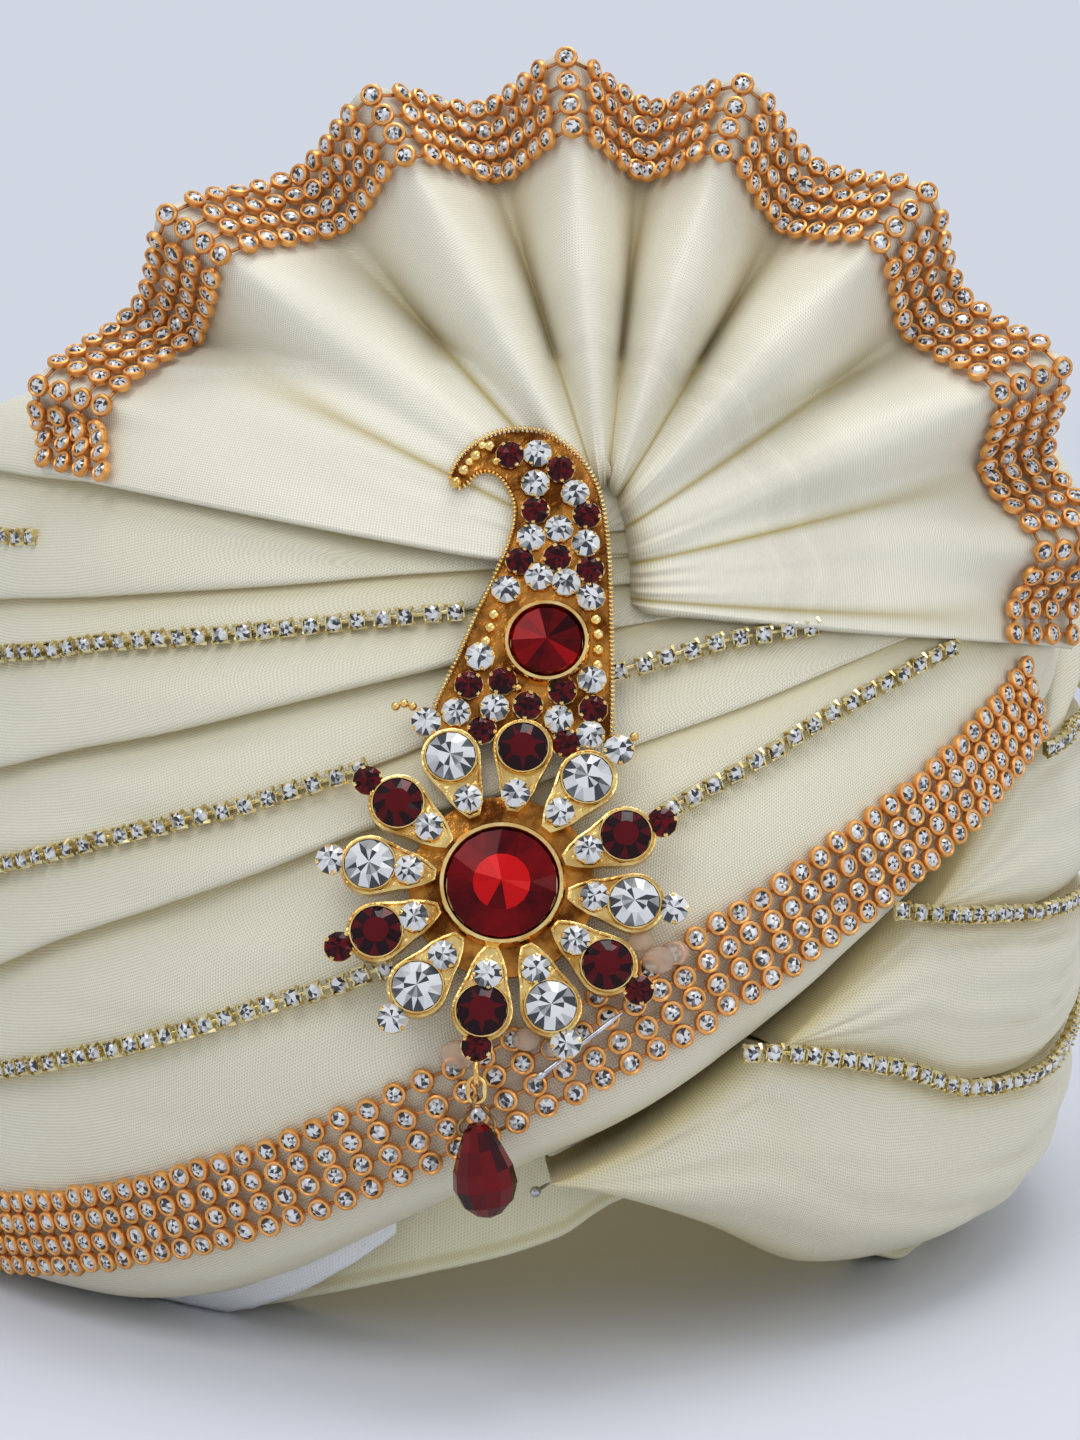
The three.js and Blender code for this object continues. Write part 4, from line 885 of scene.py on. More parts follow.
def set_many(name, form, frames, finish, body="turban", reflection_range=None, smooth=None):
    """Copies of one form, each at a frame of (place, across, up, out, size), joined in one piece."""
    spots, faces = mesh_parts(form)
    all_spots = []
    all_faces = []
    reflection_tones = []
    rng = np.random.default_rng(len(frames) + len(name))
    for number, (place, across, up, out, size) in enumerate(frames):
        basis = np.stack([across, up, out])
        all_spots.append(spots * size @ basis + place)
        start = number * len(spots)
        all_faces.extend(tuple(start + corner for corner in face) for face in faces)
        # Each facet of a stone gets a random painted reflection tone.
        if reflection_range:
            reflection_tones.append(rng.permutation(np.linspace(reflection_range[0], reflection_range[1], len(faces))))
    mesh = bpy.data.meshes.new(name)
    mesh.from_pydata(((np.concatenate(all_spots) + SHIFT) * MM).tolist(), [], all_faces)
    if reflection_range:
        painted_light_tone = mesh.attributes.new("painted_reflection", "FLOAT", "FACE")
        painted_light_tone.data.foreach_set("value", np.concatenate(reflection_tones).astype(np.float32))
    if smooth:
        mesh.polygons.foreach_set("use_smooth", np.ones(len(mesh.polygons), dtype=bool))
    piece = new_piece(name, mesh, finish, body)
    if smooth:
        only(piece)
        bpy.ops.object.shade_smooth_by_angle(angle=math.radians(smooth))
        piece.select_set(False)
    return piece


# Bead bands: domed cups in four rows, with thin links both ways

def cup_form():
    profile = [(1.45, 0.0), (2.02, 0.35), (2.12, 0.95), (1.95, 1.42), (1.62, 1.6), (1.38, 1.42), (1.3, 1.05)]
    return turned_form("cup", profile, 12)


def link_form():
    link = box_form((2.6, 0.62, 0.42))
    bpy.ops.mesh.bevel(offset=0.1, segments=1)
    bpy.ops.object.mode_set(mode="OBJECT")
    return link


def bead_band(name, node, centres, acrosses, outs, lift, seed):
    """Cups in four rows along a line. Each column keeps its own slight slack."""
    rng = np.random.default_rng(seed)
    count = len(centres)
    places = np.empty((count, 4, 3))
    tilts = np.empty((count, 4, 3))
    for row in range(4):
        slack = rng.normal(0, 0.16, (count, 1))
        places[:, row] = centres[:, row] + outs[:, row] * (lift + rng.uniform(0, 0.22, (count, 1)))
        places[:, row] += acrosses * slack
        tilts[:, row] = unit(outs[:, row] + rng.normal(0, 0.07, (count, 3)))
    frames = []
    for i in range(count):
        for row in range(4):
            out = tilts[i, row]
            up = unit(acrosses[i] - out * np.dot(acrosses[i], out))
            turn = rng.uniform(0, 2 * math.pi)
            side = np.cross(up, out)
            x = side * math.cos(turn) + up * math.sin(turn)
            y = np.cross(out, x)
            frames.append((places[i, row], x, y, out, 1.0))
    cup = cup_form()
    stone = cut_stone("bead_stone", 1.36, 8, 0.2, 0.42, 0.56, 0.06)
    link = link_form()
    cups = set_many(name + "_cups", cup, frames, copper_cup, smooth=40)
    raised = [(place + out * 1.1, x, y, out, size) for place, x, y, out, size in frames]
    set_many(name + "_stones", stone, raised, clear_stone, reflection_range=(0.05, 1.0))
    links = []
    for i in range(count):
        for row in range(4):
            neighbours = []
            if i + 1 < count:
                neighbours.append((i + 1, row))
            if row < 3:
                neighbours.append((i, row + 1))
            for k, r in neighbours:
                a, b = places[i, row], places[k, r]
                if np.linalg.norm(b - a) > 9:
                    continue
                side = unit(b - a)
                out = unit(tilts[i, row] - side * np.dot(tilts[i, row], side))
                reach = side * np.linalg.norm(b - a) / 4.2
                links.append(((a + b) / 2 + out * 0.25, reach, np.cross(out, side), out, 1.0))
    set_many(name + "_links", link, links, copper_wire)
    scrap(cup, stone, link)
    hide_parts(node)
    return cups


def run_along(line):
    """How far each point lies along a line of points."""
    return np.concatenate([[0], np.cumsum(np.linalg.norm(np.diff(line, axis=0), axis=1))])


def evenly(line, pitch):
    """Even steps along a line, given as places between its points."""
    run = run_along(line)
    count = int(run[-1] / pitch)
    return np.interp(np.linspace(0, run[-1], count + 1), run, np.arange(len(line)))


def make_fan_band():
    angle = np.linspace(FAN_FROM + 1.0, FAN_TO - 1.0, 2000)
    middle = fan_point(angle, BAND_WIDTH / 2)
    run = run_along(middle)
    folds = [angle[0], *(a for a in FAN_RIM[:, 0] if angle[0] < a < angle[-1]), angle[-1]]
    at = [folds[0]]
    for low, high in zip(folds[:-1], folds[1:]):
        ends = np.interp([low, high], angle, run)
        steps = max(1, round((ends[1] - ends[0]) / 4.62))
        at.extend(np.interp(np.linspace(ends[0], ends[1], steps + 1)[1:], run, angle))
    at = np.array(at)
    insets = BAND_WIDTH / 2 - ROW_OFFSETS

    def surface(a, inset):
        spread = [fan_point(a + k, inset) for k in (-0.9, -0.3, 0.3, 0.9)]
        return sum(spread) / 4

    centres = np.stack([surface(at, inset) for inset in insets], axis=1)
    along_rim = surface(at + 0.8, 8.4) - surface(at - 0.8, 8.4)
    outward = unit(surface(at, 1.0) - surface(at, 15.0))
    out = unit(np.cross(along_rim, outward))
    out = np.where((out[:, 1] > 0)[:, None], -out, out)
    outs = np.repeat(out[:, None], 4, axis=1)
    for row, inset in enumerate(insets):
        beside = [fan_point(at + k, inset) - centres[:, row] for k in (-0.9, -0.4, 0, 0.4, 0.9)]
        near = [np.einsum("ij,ij->i", far, out) for far in beside]
        centres[:, row] += out * np.clip(np.max(near, axis=0), 0, 2.2)[:, None] * 0.8
    return bead_band("fan_band", "fan_trim", centres, outward, outs, 0.75, 7)


def band_point(angle, part, lift=0.0):
    slope = (pleat["band"](angle + 1) - pleat["band"](angle - 1)) / 2
    pace = np.linalg.norm(skin_point(angle + 1, 50.0) - skin_point(angle, 50.0), axis=-1)
    tilt = np.arctan2(slope, pace)
    sideways = BAND_WIDTH * (part - 0.5)
    turn = -sideways * np.sin(tilt) / pace
    z = np.maximum(2.3, pleat["band"](angle) + sideways * np.cos(tilt))
    plain = skin_point(angle + turn, z)
    return skin_point(angle + turn, z, lift + hub_dimple(plain))


def make_front_band():
    angle = np.linspace(-145.5, 53.5, 3000)
    middle = band_point(angle, 0.5)
    run = run_along(middle)
    pitch = 4.35 + 0.95 * np.exp(-((angle + 4) / 15) ** 2)
    count = np.concatenate([[0], np.cumsum(np.diff(run) / ((pitch[1:] + pitch[:-1]) / 2))])
    at = np.interp(np.arange(int(count[-1]) + 1), count, angle)
    parts = 0.5 + ROW_OFFSETS / BAND_WIDTH
    centres = np.stack([band_point(at, part) for part in parts], axis=1)
    forward = band_point(at + 0.4, 0.5) - band_point(at - 0.4, 0.5)
    across = unit(band_point(at, 0.9) - band_point(at, 0.1))
    out = unit(np.cross(forward, across))
    away = np.einsum("ij,ij->i", out[:, :2], centres[:, 1, :2])
    out = np.where((away < 0)[:, None], -out, out)
    outs = np.repeat(out[:, None], 4, axis=1)
    return bead_band("front_band", "front_trim", centres, across, outs, 1.15, 8)


# Cup chains: square cups with four prongs, joined by small links

CHAIN_PITCH = 4.1
SWATH_CHAINS = [
    ("chain_top_left", "a", 12.5, 0.0, -120, -48), ("chain_first_left", "first", 0, 0.7, -120, -4.5),
    ("chain_second_left", "second", 0, 0, -120, -11.8), ("chain_second_right", "second", 0, 0, 7, 25.5),
    ("chain_third_left", "third", 0, 0, -120, -9.5), ("chain_third_right", "third", 0, 0.5, 13, 40.5),
]
GROOVE_CHAINS = [
    ("chain_groove_first", "first", 54.8, 120), ("chain_groove_second", "second", 33.6, 120),
    ("chain_groove_third", "third", 19.5, 120),
]


def square_cup():
    cup = box_form((3.0, 3.0, 1.5))
    shape = bmesh.from_edit_mesh(cup.data)
    bpy.ops.mesh.select_all(action="DESELECT")
    for face in shape.faces:
        face.select = face.normal.z < -0.5
    bpy.ops.transform.resize(value=(0.72, 0.72, 1), center_override=(0, 0, 0))
    bpy.ops.mesh.select_all(action="DESELECT")
    for face in shape.faces:
        face.select = face.normal.z > 0.5
    bpy.ops.mesh.inset(thickness=0.3, depth=0)
    extrude(-0.5)
    bpy.ops.object.mode_set(mode="OBJECT")
    prongs = []
    for x, y in ((1, 1), (-1, 1), (-1, -1), (1, -1)):
        prongs.append(fresh_form(
            bpy.ops.mesh.primitive_cone_add, vertices=4, radius1=0.46, radius2=0.2, depth=1.25,
            location=(1.22 * x, 1.22 * y, 1.75), rotation=(0.34 * y, -0.34 * x, math.radians(45))))
    return joined([cup, *prongs])


def chain_piece(name, node, line, outs):
    at = evenly(line, CHAIN_PITCH)
    steps = np.arange(len(line))

    def read(values, place):
        return np.stack([np.interp(place, steps, values[:, k]) for k in range(3)], axis=1)

    rng = np.random.default_rng(len(line) + len(name))
    centres = read(line, at)
    out = unit(read(outs, at))
    ahead = unit(read(line, np.minimum(at + 2, steps[-1])) - read(line, np.maximum(at - 2, 0)))
    frames = []
    for i in range(len(at)):
        up = unit(out[i] + rng.normal(0, 0.07, 3))
        x = unit(ahead[i] - up * np.dot(ahead[i], up) + rng.normal(0, 0.03, 3))
        x = unit(x - up * np.dot(x, up))
        frames.append((centres[i] + out[i] * rng.uniform(-0.1, 0.12), x, np.cross(up, x), up, 1.0))
    cup = square_cup()
    stone = cut_stone("chain_stone", 1.52, 8, 0.2, 0.66, 0.56, 0.06)
    link = link_form()
    cups = set_many(name + "_cups", cup, frames, pale_gold)
    raised = [(place + up * 1.15, x, y, up, size) for place, x, y, up, size in frames]
    set_many(name + "_stones", stone, raised, clear_stone, reflection_range=(0.05, 1.0))
    links = []
    for first, second in zip(frames, frames[1:]):
        a, b = first[0] + first[3] * 0.3, second[0] + second[3] * 0.3
        side = unit(b - a)
        up = unit(first[3] - side * np.dot(first[3], side))
        links.append(((a + b) / 2, side * np.linalg.norm(b - a) / 4.4, np.cross(up, side), up, 1.0))
    set_many(name + "_links", link, links, pale_gold)
    scrap(cup, stone, link)
    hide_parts(node)
    return cups


def thinnest_beside(line, angle):
    spans = []
    for _, low_line, high_line, _, _, _ in ROLLS:
        if line in (low_line, high_line):
            low, high = roll_span(low_line, high_line, angle)
            spans.append(high - low)
    return np.minimum.reduce(spans)


def make_chains():
    for name, line, above, sink, start, end in SWATH_CHAINS:
        angle = np.linspace(start, end, 400)
        z = pleat[line](angle) + above * np.minimum(1, (pleat["fold"](angle) - pleat["a"](angle)) / 25)
        z = z + 0.35 * soft_noise(angle / 6, 0.5, 111)
        lift = 0.95 - sink + hub_dimple(skin_point(angle, z))
        centre = skin_point(angle, z, lift)
        outs = skin_point(angle, z, lift + 2) - skin_point(angle, z, lift - 2)
        chain_piece(name, name, centre, outs + [0, 0, -0.35])
    for name, line, start, end in GROOVE_CHAINS:
        angle = np.linspace(start, end, 400)
        z = groove[line](angle)
        lift = 2.4 - 3.1 * np.clip(thinnest_beside(line, angle) / 22, 0, 1) - 1.2
        centre = skin_point(angle, z, lift)
        chain_piece(name, name, centre, skin_point(angle, z, lift + 2) - skin_point(angle, z, lift - 2))


# Brooch. Its own frame has x across, y up its face and z out of it, from the flower's centre.

BROOCH = np.array([-1.2, -127.3, 83.0])
LEAN = math.radians(90 - 23)
BROOCH_ACROSS = np.array([1.0, 0.0, 0.0])
BROOCH_UP = np.array([0.0, math.cos(LEAN), math.sin(LEAN)])
BROOCH_OUT = np.array([0.0, -math.sin(LEAN), math.cos(LEAN)])
PETALS = 12
FIRST_PETAL = 8.4
RED_ONES = (0, 2, 4, 6, 8, 10)
PETAL_AT, INNER_AT, TIP_AT = 21.7, 15.2, 28.1
PAISLEY_SMALL = [
    (1.1, 75.1, "R"), (5.8, 75.4, "C"), (9.7, 72.5, "R"), (5.4, 69.9, "C"), (12.2, 68.1, "C"),
    (5.4, 65.0, "R"), (14.1, 64.1, "R"), (9.4, 61.7, "C"), (4.7, 60.1, "C"), (13.9, 59.1, "C"),
    (2.8, 55.9, "R"), (9.1, 56.5, "R"), (14.6, 54.3, "R"), (6.0, 53.1, "C"), (10.6, 52.1, "C"),
    (0.5, 50.9, "C"), (14.7, 49.5, "C"), (-3.8, 39.0, "C"), (-5.6, 34.0, "R"), (0.0, 34.7, "R"),
    (14.8, 35.0, "C"), (9.9, 33.0, "R"), (-7.7, 29.3, "C"), (-1.3, 30.1, "C"), (9.3, 28.1, "C"),
    (15.0, 29.8, "R"), (-3.4, 26.2, "R"), (10.5, 23.9, "R"), (14.5, 25.4, "C"),
]
SMALL_STUDS = [
    (-17.7, 30.4), (-16.3, 30.9), (-14.9, 30.4), (21.8, 25.2), (20.9, 24.0), (7.4, 65.4), (2.6, 33.6),
    (-1.3, 74.0), (-3.6, 76.9), (-5.8, 73.9),
]
LARGE_STUDS = [
    (-1.5, 46.4), (-2.1, 44.1), (-2.8, 41.7), (15.5, 45.5), (15.9, 42.9), (15.9, 40.2), (15.7, 37.5),
    (-2.3, 76.7), (-4.7, 75.0), (-6.7, 72.3), (-8.0, 70.2),
]
PAISLEY_OUTLINE = [
    (17.8, 24.5), (17.9, 40.9), (17.6, 55.2), (16.6, 65.9), (14.2, 72.6), (10.8, 76.7), (6.5, 79.3),
    (1.6, 79.7), (-3.0, 78.3), (-7.0, 75.0), (-8.8, 70.9), (-7.2, 69.5), (-4.4, 72.2), (-1.6, 72.2),
    (0.6, 70.1), (2.2, 65.8), (1.4, 59.9), (-1.4, 52.7), (-4.6, 45.6), (-7.4, 38.4), (-10.6, 31.3),
    (-12.4, 24.5),
]


def brooch_frame(x, y, z=0.0, size=1.0, turn=0.0):
    """A place on the brooch, and axes turned about the way out of its face."""
    place = BROOCH + BROOCH_ACROSS * x + BROOCH_UP * y + BROOCH_OUT * z
    across = BROOCH_ACROSS * math.cos(turn) + BROOCH_UP * math.sin(turn)
    up = -BROOCH_ACROSS * math.sin(turn) + BROOCH_UP * math.cos(turn)
    return (place, across, up, BROOCH_OUT, size)


PETAL_REACH = {0: 23.2, 1: 22.5, 6: 21.1, 11: 23.0}
TIP_PLACES = {0: (4.2, 30.3), 1: (19.2, 22.7), 11: (-12.6, 27.5)}


def stone_at(number):
    return PETAL_REACH.get(number, PETAL_AT)


def tip_place(number):
    return TIP_PLACES.get(number) or petal_place(number, 26.9 if number == 6 else TIP_AT)[:2]


def petal_place(number, distance):
    turn = math.radians(FIRST_PETAL + 360 / PETALS * number)
    return distance * math.sin(turn), distance * math.cos(turn), turn


def smooth_outline(outline, steps):
    corners = np.array(outline)
    extended = np.concatenate([corners[:1], corners, corners[-1:]])
    run = []
    for k in range(len(corners) - 1):
        a, b, c, d = extended[k:k + 4]
        for t in np.linspace(0, 1, steps, endpoint=False):
            run.append(0.5 * (2 * b + (c - a) * t + (2 * a - 5 * b + 4 * c - d) * t * t
                              + (3 * b - a - 3 * c + d) * t ** 3))
    run.append(corners[-1])
    return np.array(run)


def shaped_plate(name, outline, low, high, edge=0.25):
    """A disc whose corners are drawn out to an outline, raised to a plate and eased along its edge."""
    plate = flat_disc(name, len(outline), 1.0, low)
    bpy.ops.object.mode_set(mode="EDIT")
    shape = bmesh.from_edit_mesh(plate.data)
    shape.verts.ensure_lookup_table()
    for corner, (x, y) in zip(shape.verts, outline):
        corner.co = Vector((x, y, low))
    bmesh.update_edit_mesh(plate.data)
    bpy.ops.mesh.select_all(action="SELECT")
    extrude(high - low)
    bpy.ops.mesh.inset(thickness=edge, depth=edge * 0.6)
    close_form()
    return plate


PETAL_NECK, PETAL_POINT = 7.2, 10.9


def petal_outline():
    """A teardrop with a round end, a waist and a point towards the flower."""
    round_end = [(4.95 * math.cos(t), 4.95 * math.sin(t)) for t in np.linspace(-0.42, math.pi + 0.42, 17)]
    left_side = [(-4.0, -3.5), (-3.35, -5.2), (-2.9, -PETAL_NECK), (-2.0, -9.2), (-0.9, -PETAL_POINT)]
    right_side = [(-x, y) for x, y in reversed(left_side)]
    return round_end + left_side + right_side


def petal_form():
    """A petal with a raised rim round a hollowed face."""
    form = shaped_plate("petal", petal_outline(), 0.0, 2.0, 0.12)
    bpy.ops.object.mode_set(mode="EDIT")
    shape = bmesh.from_edit_mesh(form.data)
    bpy.ops.mesh.select_all(action="DESELECT")
    top = max(shape.faces, key=lambda face: face.calc_center_median().z)
    top.select = True
    bpy.ops.mesh.inset(thickness=0.3, depth=0)
    bpy.ops.mesh.inset(thickness=0.15, depth=-0.55)
    close_form()
    return form


def bezel_form(name, radius, wall, height, sides):
    profile = [
        (radius, 0), (radius, height * 0.75), (radius - wall * 0.3, height), (radius - wall * 0.75, height),
        (radius - wall, height - wall * 0.5), (radius - wall * 1.05, height - wall * 1.6),
    ]
    return turned_form(name, profile, sides)


def prong_cup(radius, height):
    """A small seat with four claws bent over the stone."""
    profile = [(0.8, 0), (1.06, 0.5), (1.1, 1), (0.86, 1), (0.8, 0.8)]
    cup = turned_form("prong_cup", [(radius * wide, height * rise) for wide, rise in profile], 10)
    claws = []
    for k in range(4):
        turn = math.radians(45 + 90 * k)
        place = (radius * 0.93 * math.cos(turn), radius * 0.93 * math.sin(turn), height + 0.32)
        claws.append(ball_form(0.42, 1, place))
    return joined([cup, *claws])


def ball_form(radius, rings=1, place=(0, 0, 0)):
    return fresh_form(
        bpy.ops.mesh.primitive_ico_sphere_add, subdivisions=rings, radius=radius, location=place)


def rivoli(name, radius, sides, girdle, rise, table):
    """A stone with a pointed top: long facets to the point, and a ring of kites round it."""
    return cut_stone(name, radius, sides, girdle, rise * 0.45, table, rise * 0.55)


def paint_facet_reflections(piece, x, y, rule):
    """Paints each facet's reflection tone by how far it is from the stone's middle and which way it lies."""
    middle = brooch_frame(x, y)[0]
    reflection_tones = []
    for face in piece.data.polygons:
        away = np.array(face.center) / MM - SHIFT - middle
        across, up = float(away @ BROOCH_ACROSS), float(away @ BROOCH_UP)
        reflection_tones.append(rule(math.hypot(across, up), math.atan2(up, across)))
    piece.data.attributes["painted_reflection"].data.foreach_set("value", np.array(reflection_tones, dtype=np.float32))


def make_brooch():
    flat = brooch_frame(0, 0)
    backing = turned_form("backing", [(14.4, 0.05), (15.2, 0.3), (15.1, 0.7), (12.8, 1.0)], 48)
    curve = smooth_outline(PAISLEY_OUTLINE, 4)
    back_plate = shaped_plate("back_plate", curve, 0.1, 1.0)
    both = joined([backing, back_plate])
    plates = set_many("brooch_back", both, [flat], shaded_backing_gold, smooth=30)
    scrap(both)

    petal = petal_form()
    spots = [petal_place(i, stone_at(i)) for i in range(PETALS)]
    frames = [brooch_frame(x, y, 0.6, 1.0, -turn) for x, y, turn in spots]
    set_many("petals", petal, frames, hammered_gold, smooth=35)

    centre = bezel_form("centre_bezel", 10.4, 1.3, 3.6, 56)
    set_many("centre_bezel", centre, [flat], rich_gold, smooth=30)
    ring = bezel_form("petal_bezel", 4.5, 0.45, 1.1, 28)
    frames = [brooch_frame(x, y, 2.2) for x, y, _ in spots]
    set_many("petal_bezels", ring, frames, rich_gold, smooth=30)
    big = bezel_form("paisley_bezel", 7.3, 1.2, 2.6, 44)
    set_many("paisley_bezel", big, [brooch_frame(7.3, 41.5, 0.6)], rich_gold, smooth=30)

    small = [(x, y, 0.9, kind, 1.0) for x, y, kind in PAISLEY_SMALL]
    for i in range(PETALS):
        x, y, _ = petal_place(i, INNER_AT)
        small.append((x, y, 2.1, "C", 1.0))
        x, y = tip_place(i)
        small.append((x, y, 1.3, "R" if i in RED_ONES else "C", 1.04))
    cup = prong_cup(2.3, 0.9)
    rng = np.random.default_rng(17)
    turns = rng.uniform(0, math.pi / 2, len(small))
    cups = [brooch_frame(x, y, z, size, turn) for (x, y, z, _, size), turn in zip(small, turns)]
    set_many("small_seats", cup, cups, rich_gold, smooth=40)
    stone = cut_stone("small_stone", 2.38, 12, 0.35, 0.8, 0.5, 0.1)
    for name, kind, finish, slot in (("small_red_stones", "R", red_stone, "red_glass"),
                                     ("small_clear_stones", "C", clear_stone, "clear_glass")):
        frames = [brooch_frame(x, y, z + 0.85, size, turn)
                  for (x, y, z, k, size), turn in zip(small, turns) if k == kind]
        set_many(name, stone, frames, finish, reflection_range=(0.02, 0.75) if kind == "R" else (0.05, 1.0))

    petal_stone = cut_stone("petal_stone", 4.05, 14, 0.5, 1.3, 0.52, 0.1)
    for i, (x, y, _) in enumerate(spots):
        red = i in RED_ONES
        number = f"{i + 1:02d}"
        piece = set_many("petal_glass_" + number, petal_stone, [brooch_frame(x, y, 2.75, 1.0, 0.3 * i)],
                         red_stone if red else clear_stone,
                         reflection_range=(0.02, 0.7) if red else (0.05, 1.0))
        if red:
            # Painted reflections: a bright middle and a ring of alternating dark and bright facets.
            paint_facet_reflections(piece, x, y, lambda far, turn: 0.62 if far < 2.1
                         else 0.14 + 0.42 * (math.sin(7 * turn) > 0.5))
        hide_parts("petal_stone_" + number)
    heart = rivoli("heart", 9.0, 18, 0.9, 2.2, 0.52)
    piece = set_many("centre_glass", heart, [brooch_frame(0, 0, 2.2)], red_heart,
                     reflection_range=(0.1, 0.85))
    # Painted reflections: a bright middle crossed by a dark band and darker on one side, within a dim outer
    # ring.
    paint_facet_reflections(piece, 0, 0, lambda far, turn: 1.0 - 0.85 * (abs(turn + 1.62) < 0.3) - 0.3 * (turn > 2.2)
                 if far < 4.4 else 0.17 + 0.07 * math.sin(3 * turn))
    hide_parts("centre_stone")
    second = rivoli("second", 6.1, 14, 0.8, 1.8, 0.93)
    piece = set_many("paisley_glass", second, [brooch_frame(7.3, 41.5, 1.6)], red_heart,
                     reflection_range=(0.05, 0.7))
    # Painted reflections: lighter towards one side, with a narrow highlight on the other.
    paint_facet_reflections(piece, 7.3, 41.5, lambda far, turn: 0.08 + 0.22 * max(0.0, math.cos(turn - 2.9)) ** 0.7
                 + 0.3 * max(0.0, math.cos(turn + 0.75)) ** 8 + 0.06 * math.sin(7 * turn))
    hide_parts("paisley_stone")

    grain = ball_form(0.42)
    edge = smooth_outline(PAISLEY_OUTLINE, 14)
    edge = np.column_stack([edge, np.zeros(len(edge))])
    at = evenly(edge, 0.78)
    xs, ys = (np.interp(at, np.arange(len(edge)), edge[:, k]) for k in (0, 1))
    headings = np.arctan2(np.gradient(ys), np.gradient(xs))
    ropes = []
    for x, y, heading in zip(xs, ys, headings):
        place, ahead, beside, out, _ = brooch_frame(x, y, 1.35, 1.0, heading)
        ropes.append((place - beside * 0.25 + out * 0.25, ahead * 0.8, beside * 1.5, out * 1.5, 1.0))
    set_many("rope_edge", grain, ropes, painted_highlight_gold, smooth=60)
    bead = ball_form(0.78, 2)
    frames = [brooch_frame(x, y, 1.5) for x, y in SMALL_STUDS]
    frames += [brooch_frame(x, y, 1.6, 1.3) for x, y in LARGE_STUDS]
    set_many("gold_studs", bead, frames, rich_gold, smooth=60)
    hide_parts("brooch_setting")
    scrap(petal, centre, ring, big, cup, stone, petal_stone, heart, second, grain, bead)


# Drop, its link and bail, and the pins

DROP_LENGTH, DROP_RADIUS = 15.4, 5.2
DROP_PROFILE = [
    (0.08, -1.0), (0.42, -0.955), (0.8, -0.84), (1.0, -0.66), (0.93, -0.47), (0.68, -0.25),
    (0.42, -0.06), (0.26, 0.0),
]
LOOP_AT = (-3.930, -30.762, 1.9)
LINK_HINGE = np.array([-1.162, -133.213, 53.526]) - SHIFT
DROP_HINGE = np.array([-1.162, -133.213, 50.646]) - SHIFT
WORLD = (np.array([1.0, 0, 0]), np.array([0, 1.0, 0]), np.array([0, 0, 1.0]))


def wire_form(name, path, thick, closed=True, resolution=6):
    """A round wire along a smooth path."""
    data = bpy.data.curves.new(name, "CURVE")
    data.dimensions = "3D"
    data.bevel_depth = thick
    data.bevel_resolution = resolution // 2
    data.resolution_u = 8
    spline = data.splines.new("NURBS")
    spline.points.add(len(path) - 1)
    for point, place in zip(spline.points, path):
        point.co = (*place, 1)
    spline.use_cyclic_u = closed
    spline.use_endpoint_u = not closed
    spline.order_u = 4
    wire = bpy.data.objects.new(name, data)
    bpy.context.scene.collection.objects.link(wire)
    only(wire)
    bpy.ops.object.convert(target="MESH")
    return bpy.context.active_object


def ring_form(major, minor, turn=(0, 0, 0)):
    return fresh_form(bpy.ops.mesh.primitive_torus_add, major_radius=major, minor_radius=minor,
                      major_segments=36, minor_segments=12, rotation=turn)


def make_drop():
    loop = ring_form(1.9, 0.45, (0, math.pi / 2, 0))
    set_many("brooch_loop", loop, [brooch_frame(*LOOP_AT)], rich_gold, smooth=60)
    link = ring_form(1.3, 0.38, (math.pi / 2, 0, 0))
    only(link)
    bpy.ops.object.mode_set(mode="EDIT")
    shape = bmesh.from_edit_mesh(link.data)
    for sign in (1, -1):
        bpy.ops.mesh.select_all(action="DESELECT")
        for corner in shape.verts:
            corner.select = corner.co.z * sign > 0.05
        shape.select_flush(True)
        bpy.ops.transform.translate(value=(0, 0, sign * 0.75))
    bpy.ops.object.mode_set(mode="OBJECT")
    place = LINK_HINGE + [0, 0, -0.88]
    piece = set_many("hanging_link", link, [(place, *WORLD, 1.0)], rich_gold, "link", smooth=60)
    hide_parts("drop_link")
    over, beside = 1.21 * 1.25, 1.21 * 1.1
    path = [
        (0, 0, over), (-0.2, -beside, 0.1), (-1.5, -beside, -1.9), (-3.0, -0.7, -3.3), (-2.8, 0, -5.0),
        (-1.2, 0, -5.6), (1.2, 0, -5.4), (2.9, 0, -4.7), (3.1, 0.7, -3.1), (1.5, beside, -1.9),
        (0.2, beside, 0.1),
    ]
    bail = wire_form("bail", path, 0.29)
    piece = set_many("bail_wire", bail, [(DROP_HINGE, *WORLD, 1.0)], bronze_wire, "drop", smooth=60)
    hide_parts("drop_bail")
    bead = turned_form("bead", [(r * DROP_RADIUS, z * DROP_LENGTH) for r, z in DROP_PROFILE], 12)
    only(bead)
    edit_all()
    bpy.ops.transform.rotate(value=math.radians(8), orient_axis="Y", center_override=(0, 0, 0))
    bpy.ops.object.mode_set(mode="OBJECT")
    place = DROP_HINGE + [0, 0, -3.5]
    piece = set_many("drop_glass", bead, [(place, *WORLD, 1.0)], red_drop, "drop",
                     reflection_range=(0.1, 0.6))
    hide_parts("drop_bead")
    scrap(loop, link, bail, bead)


def pin_form(length, thick, head):
    shank = turned_form("shank", [(thick * 0.2, 0), (thick, 1.6), (thick, length)], 12)
    knob = turned_form("knob", [(head * 0.5, length - 0.2), (head * 0.9, length + 0.25), (head, length + 0.8),
                                (head * 0.85, length + 1.3), (head * 0.4, length + 1.6)], 16)
    return joined([shank, knob])


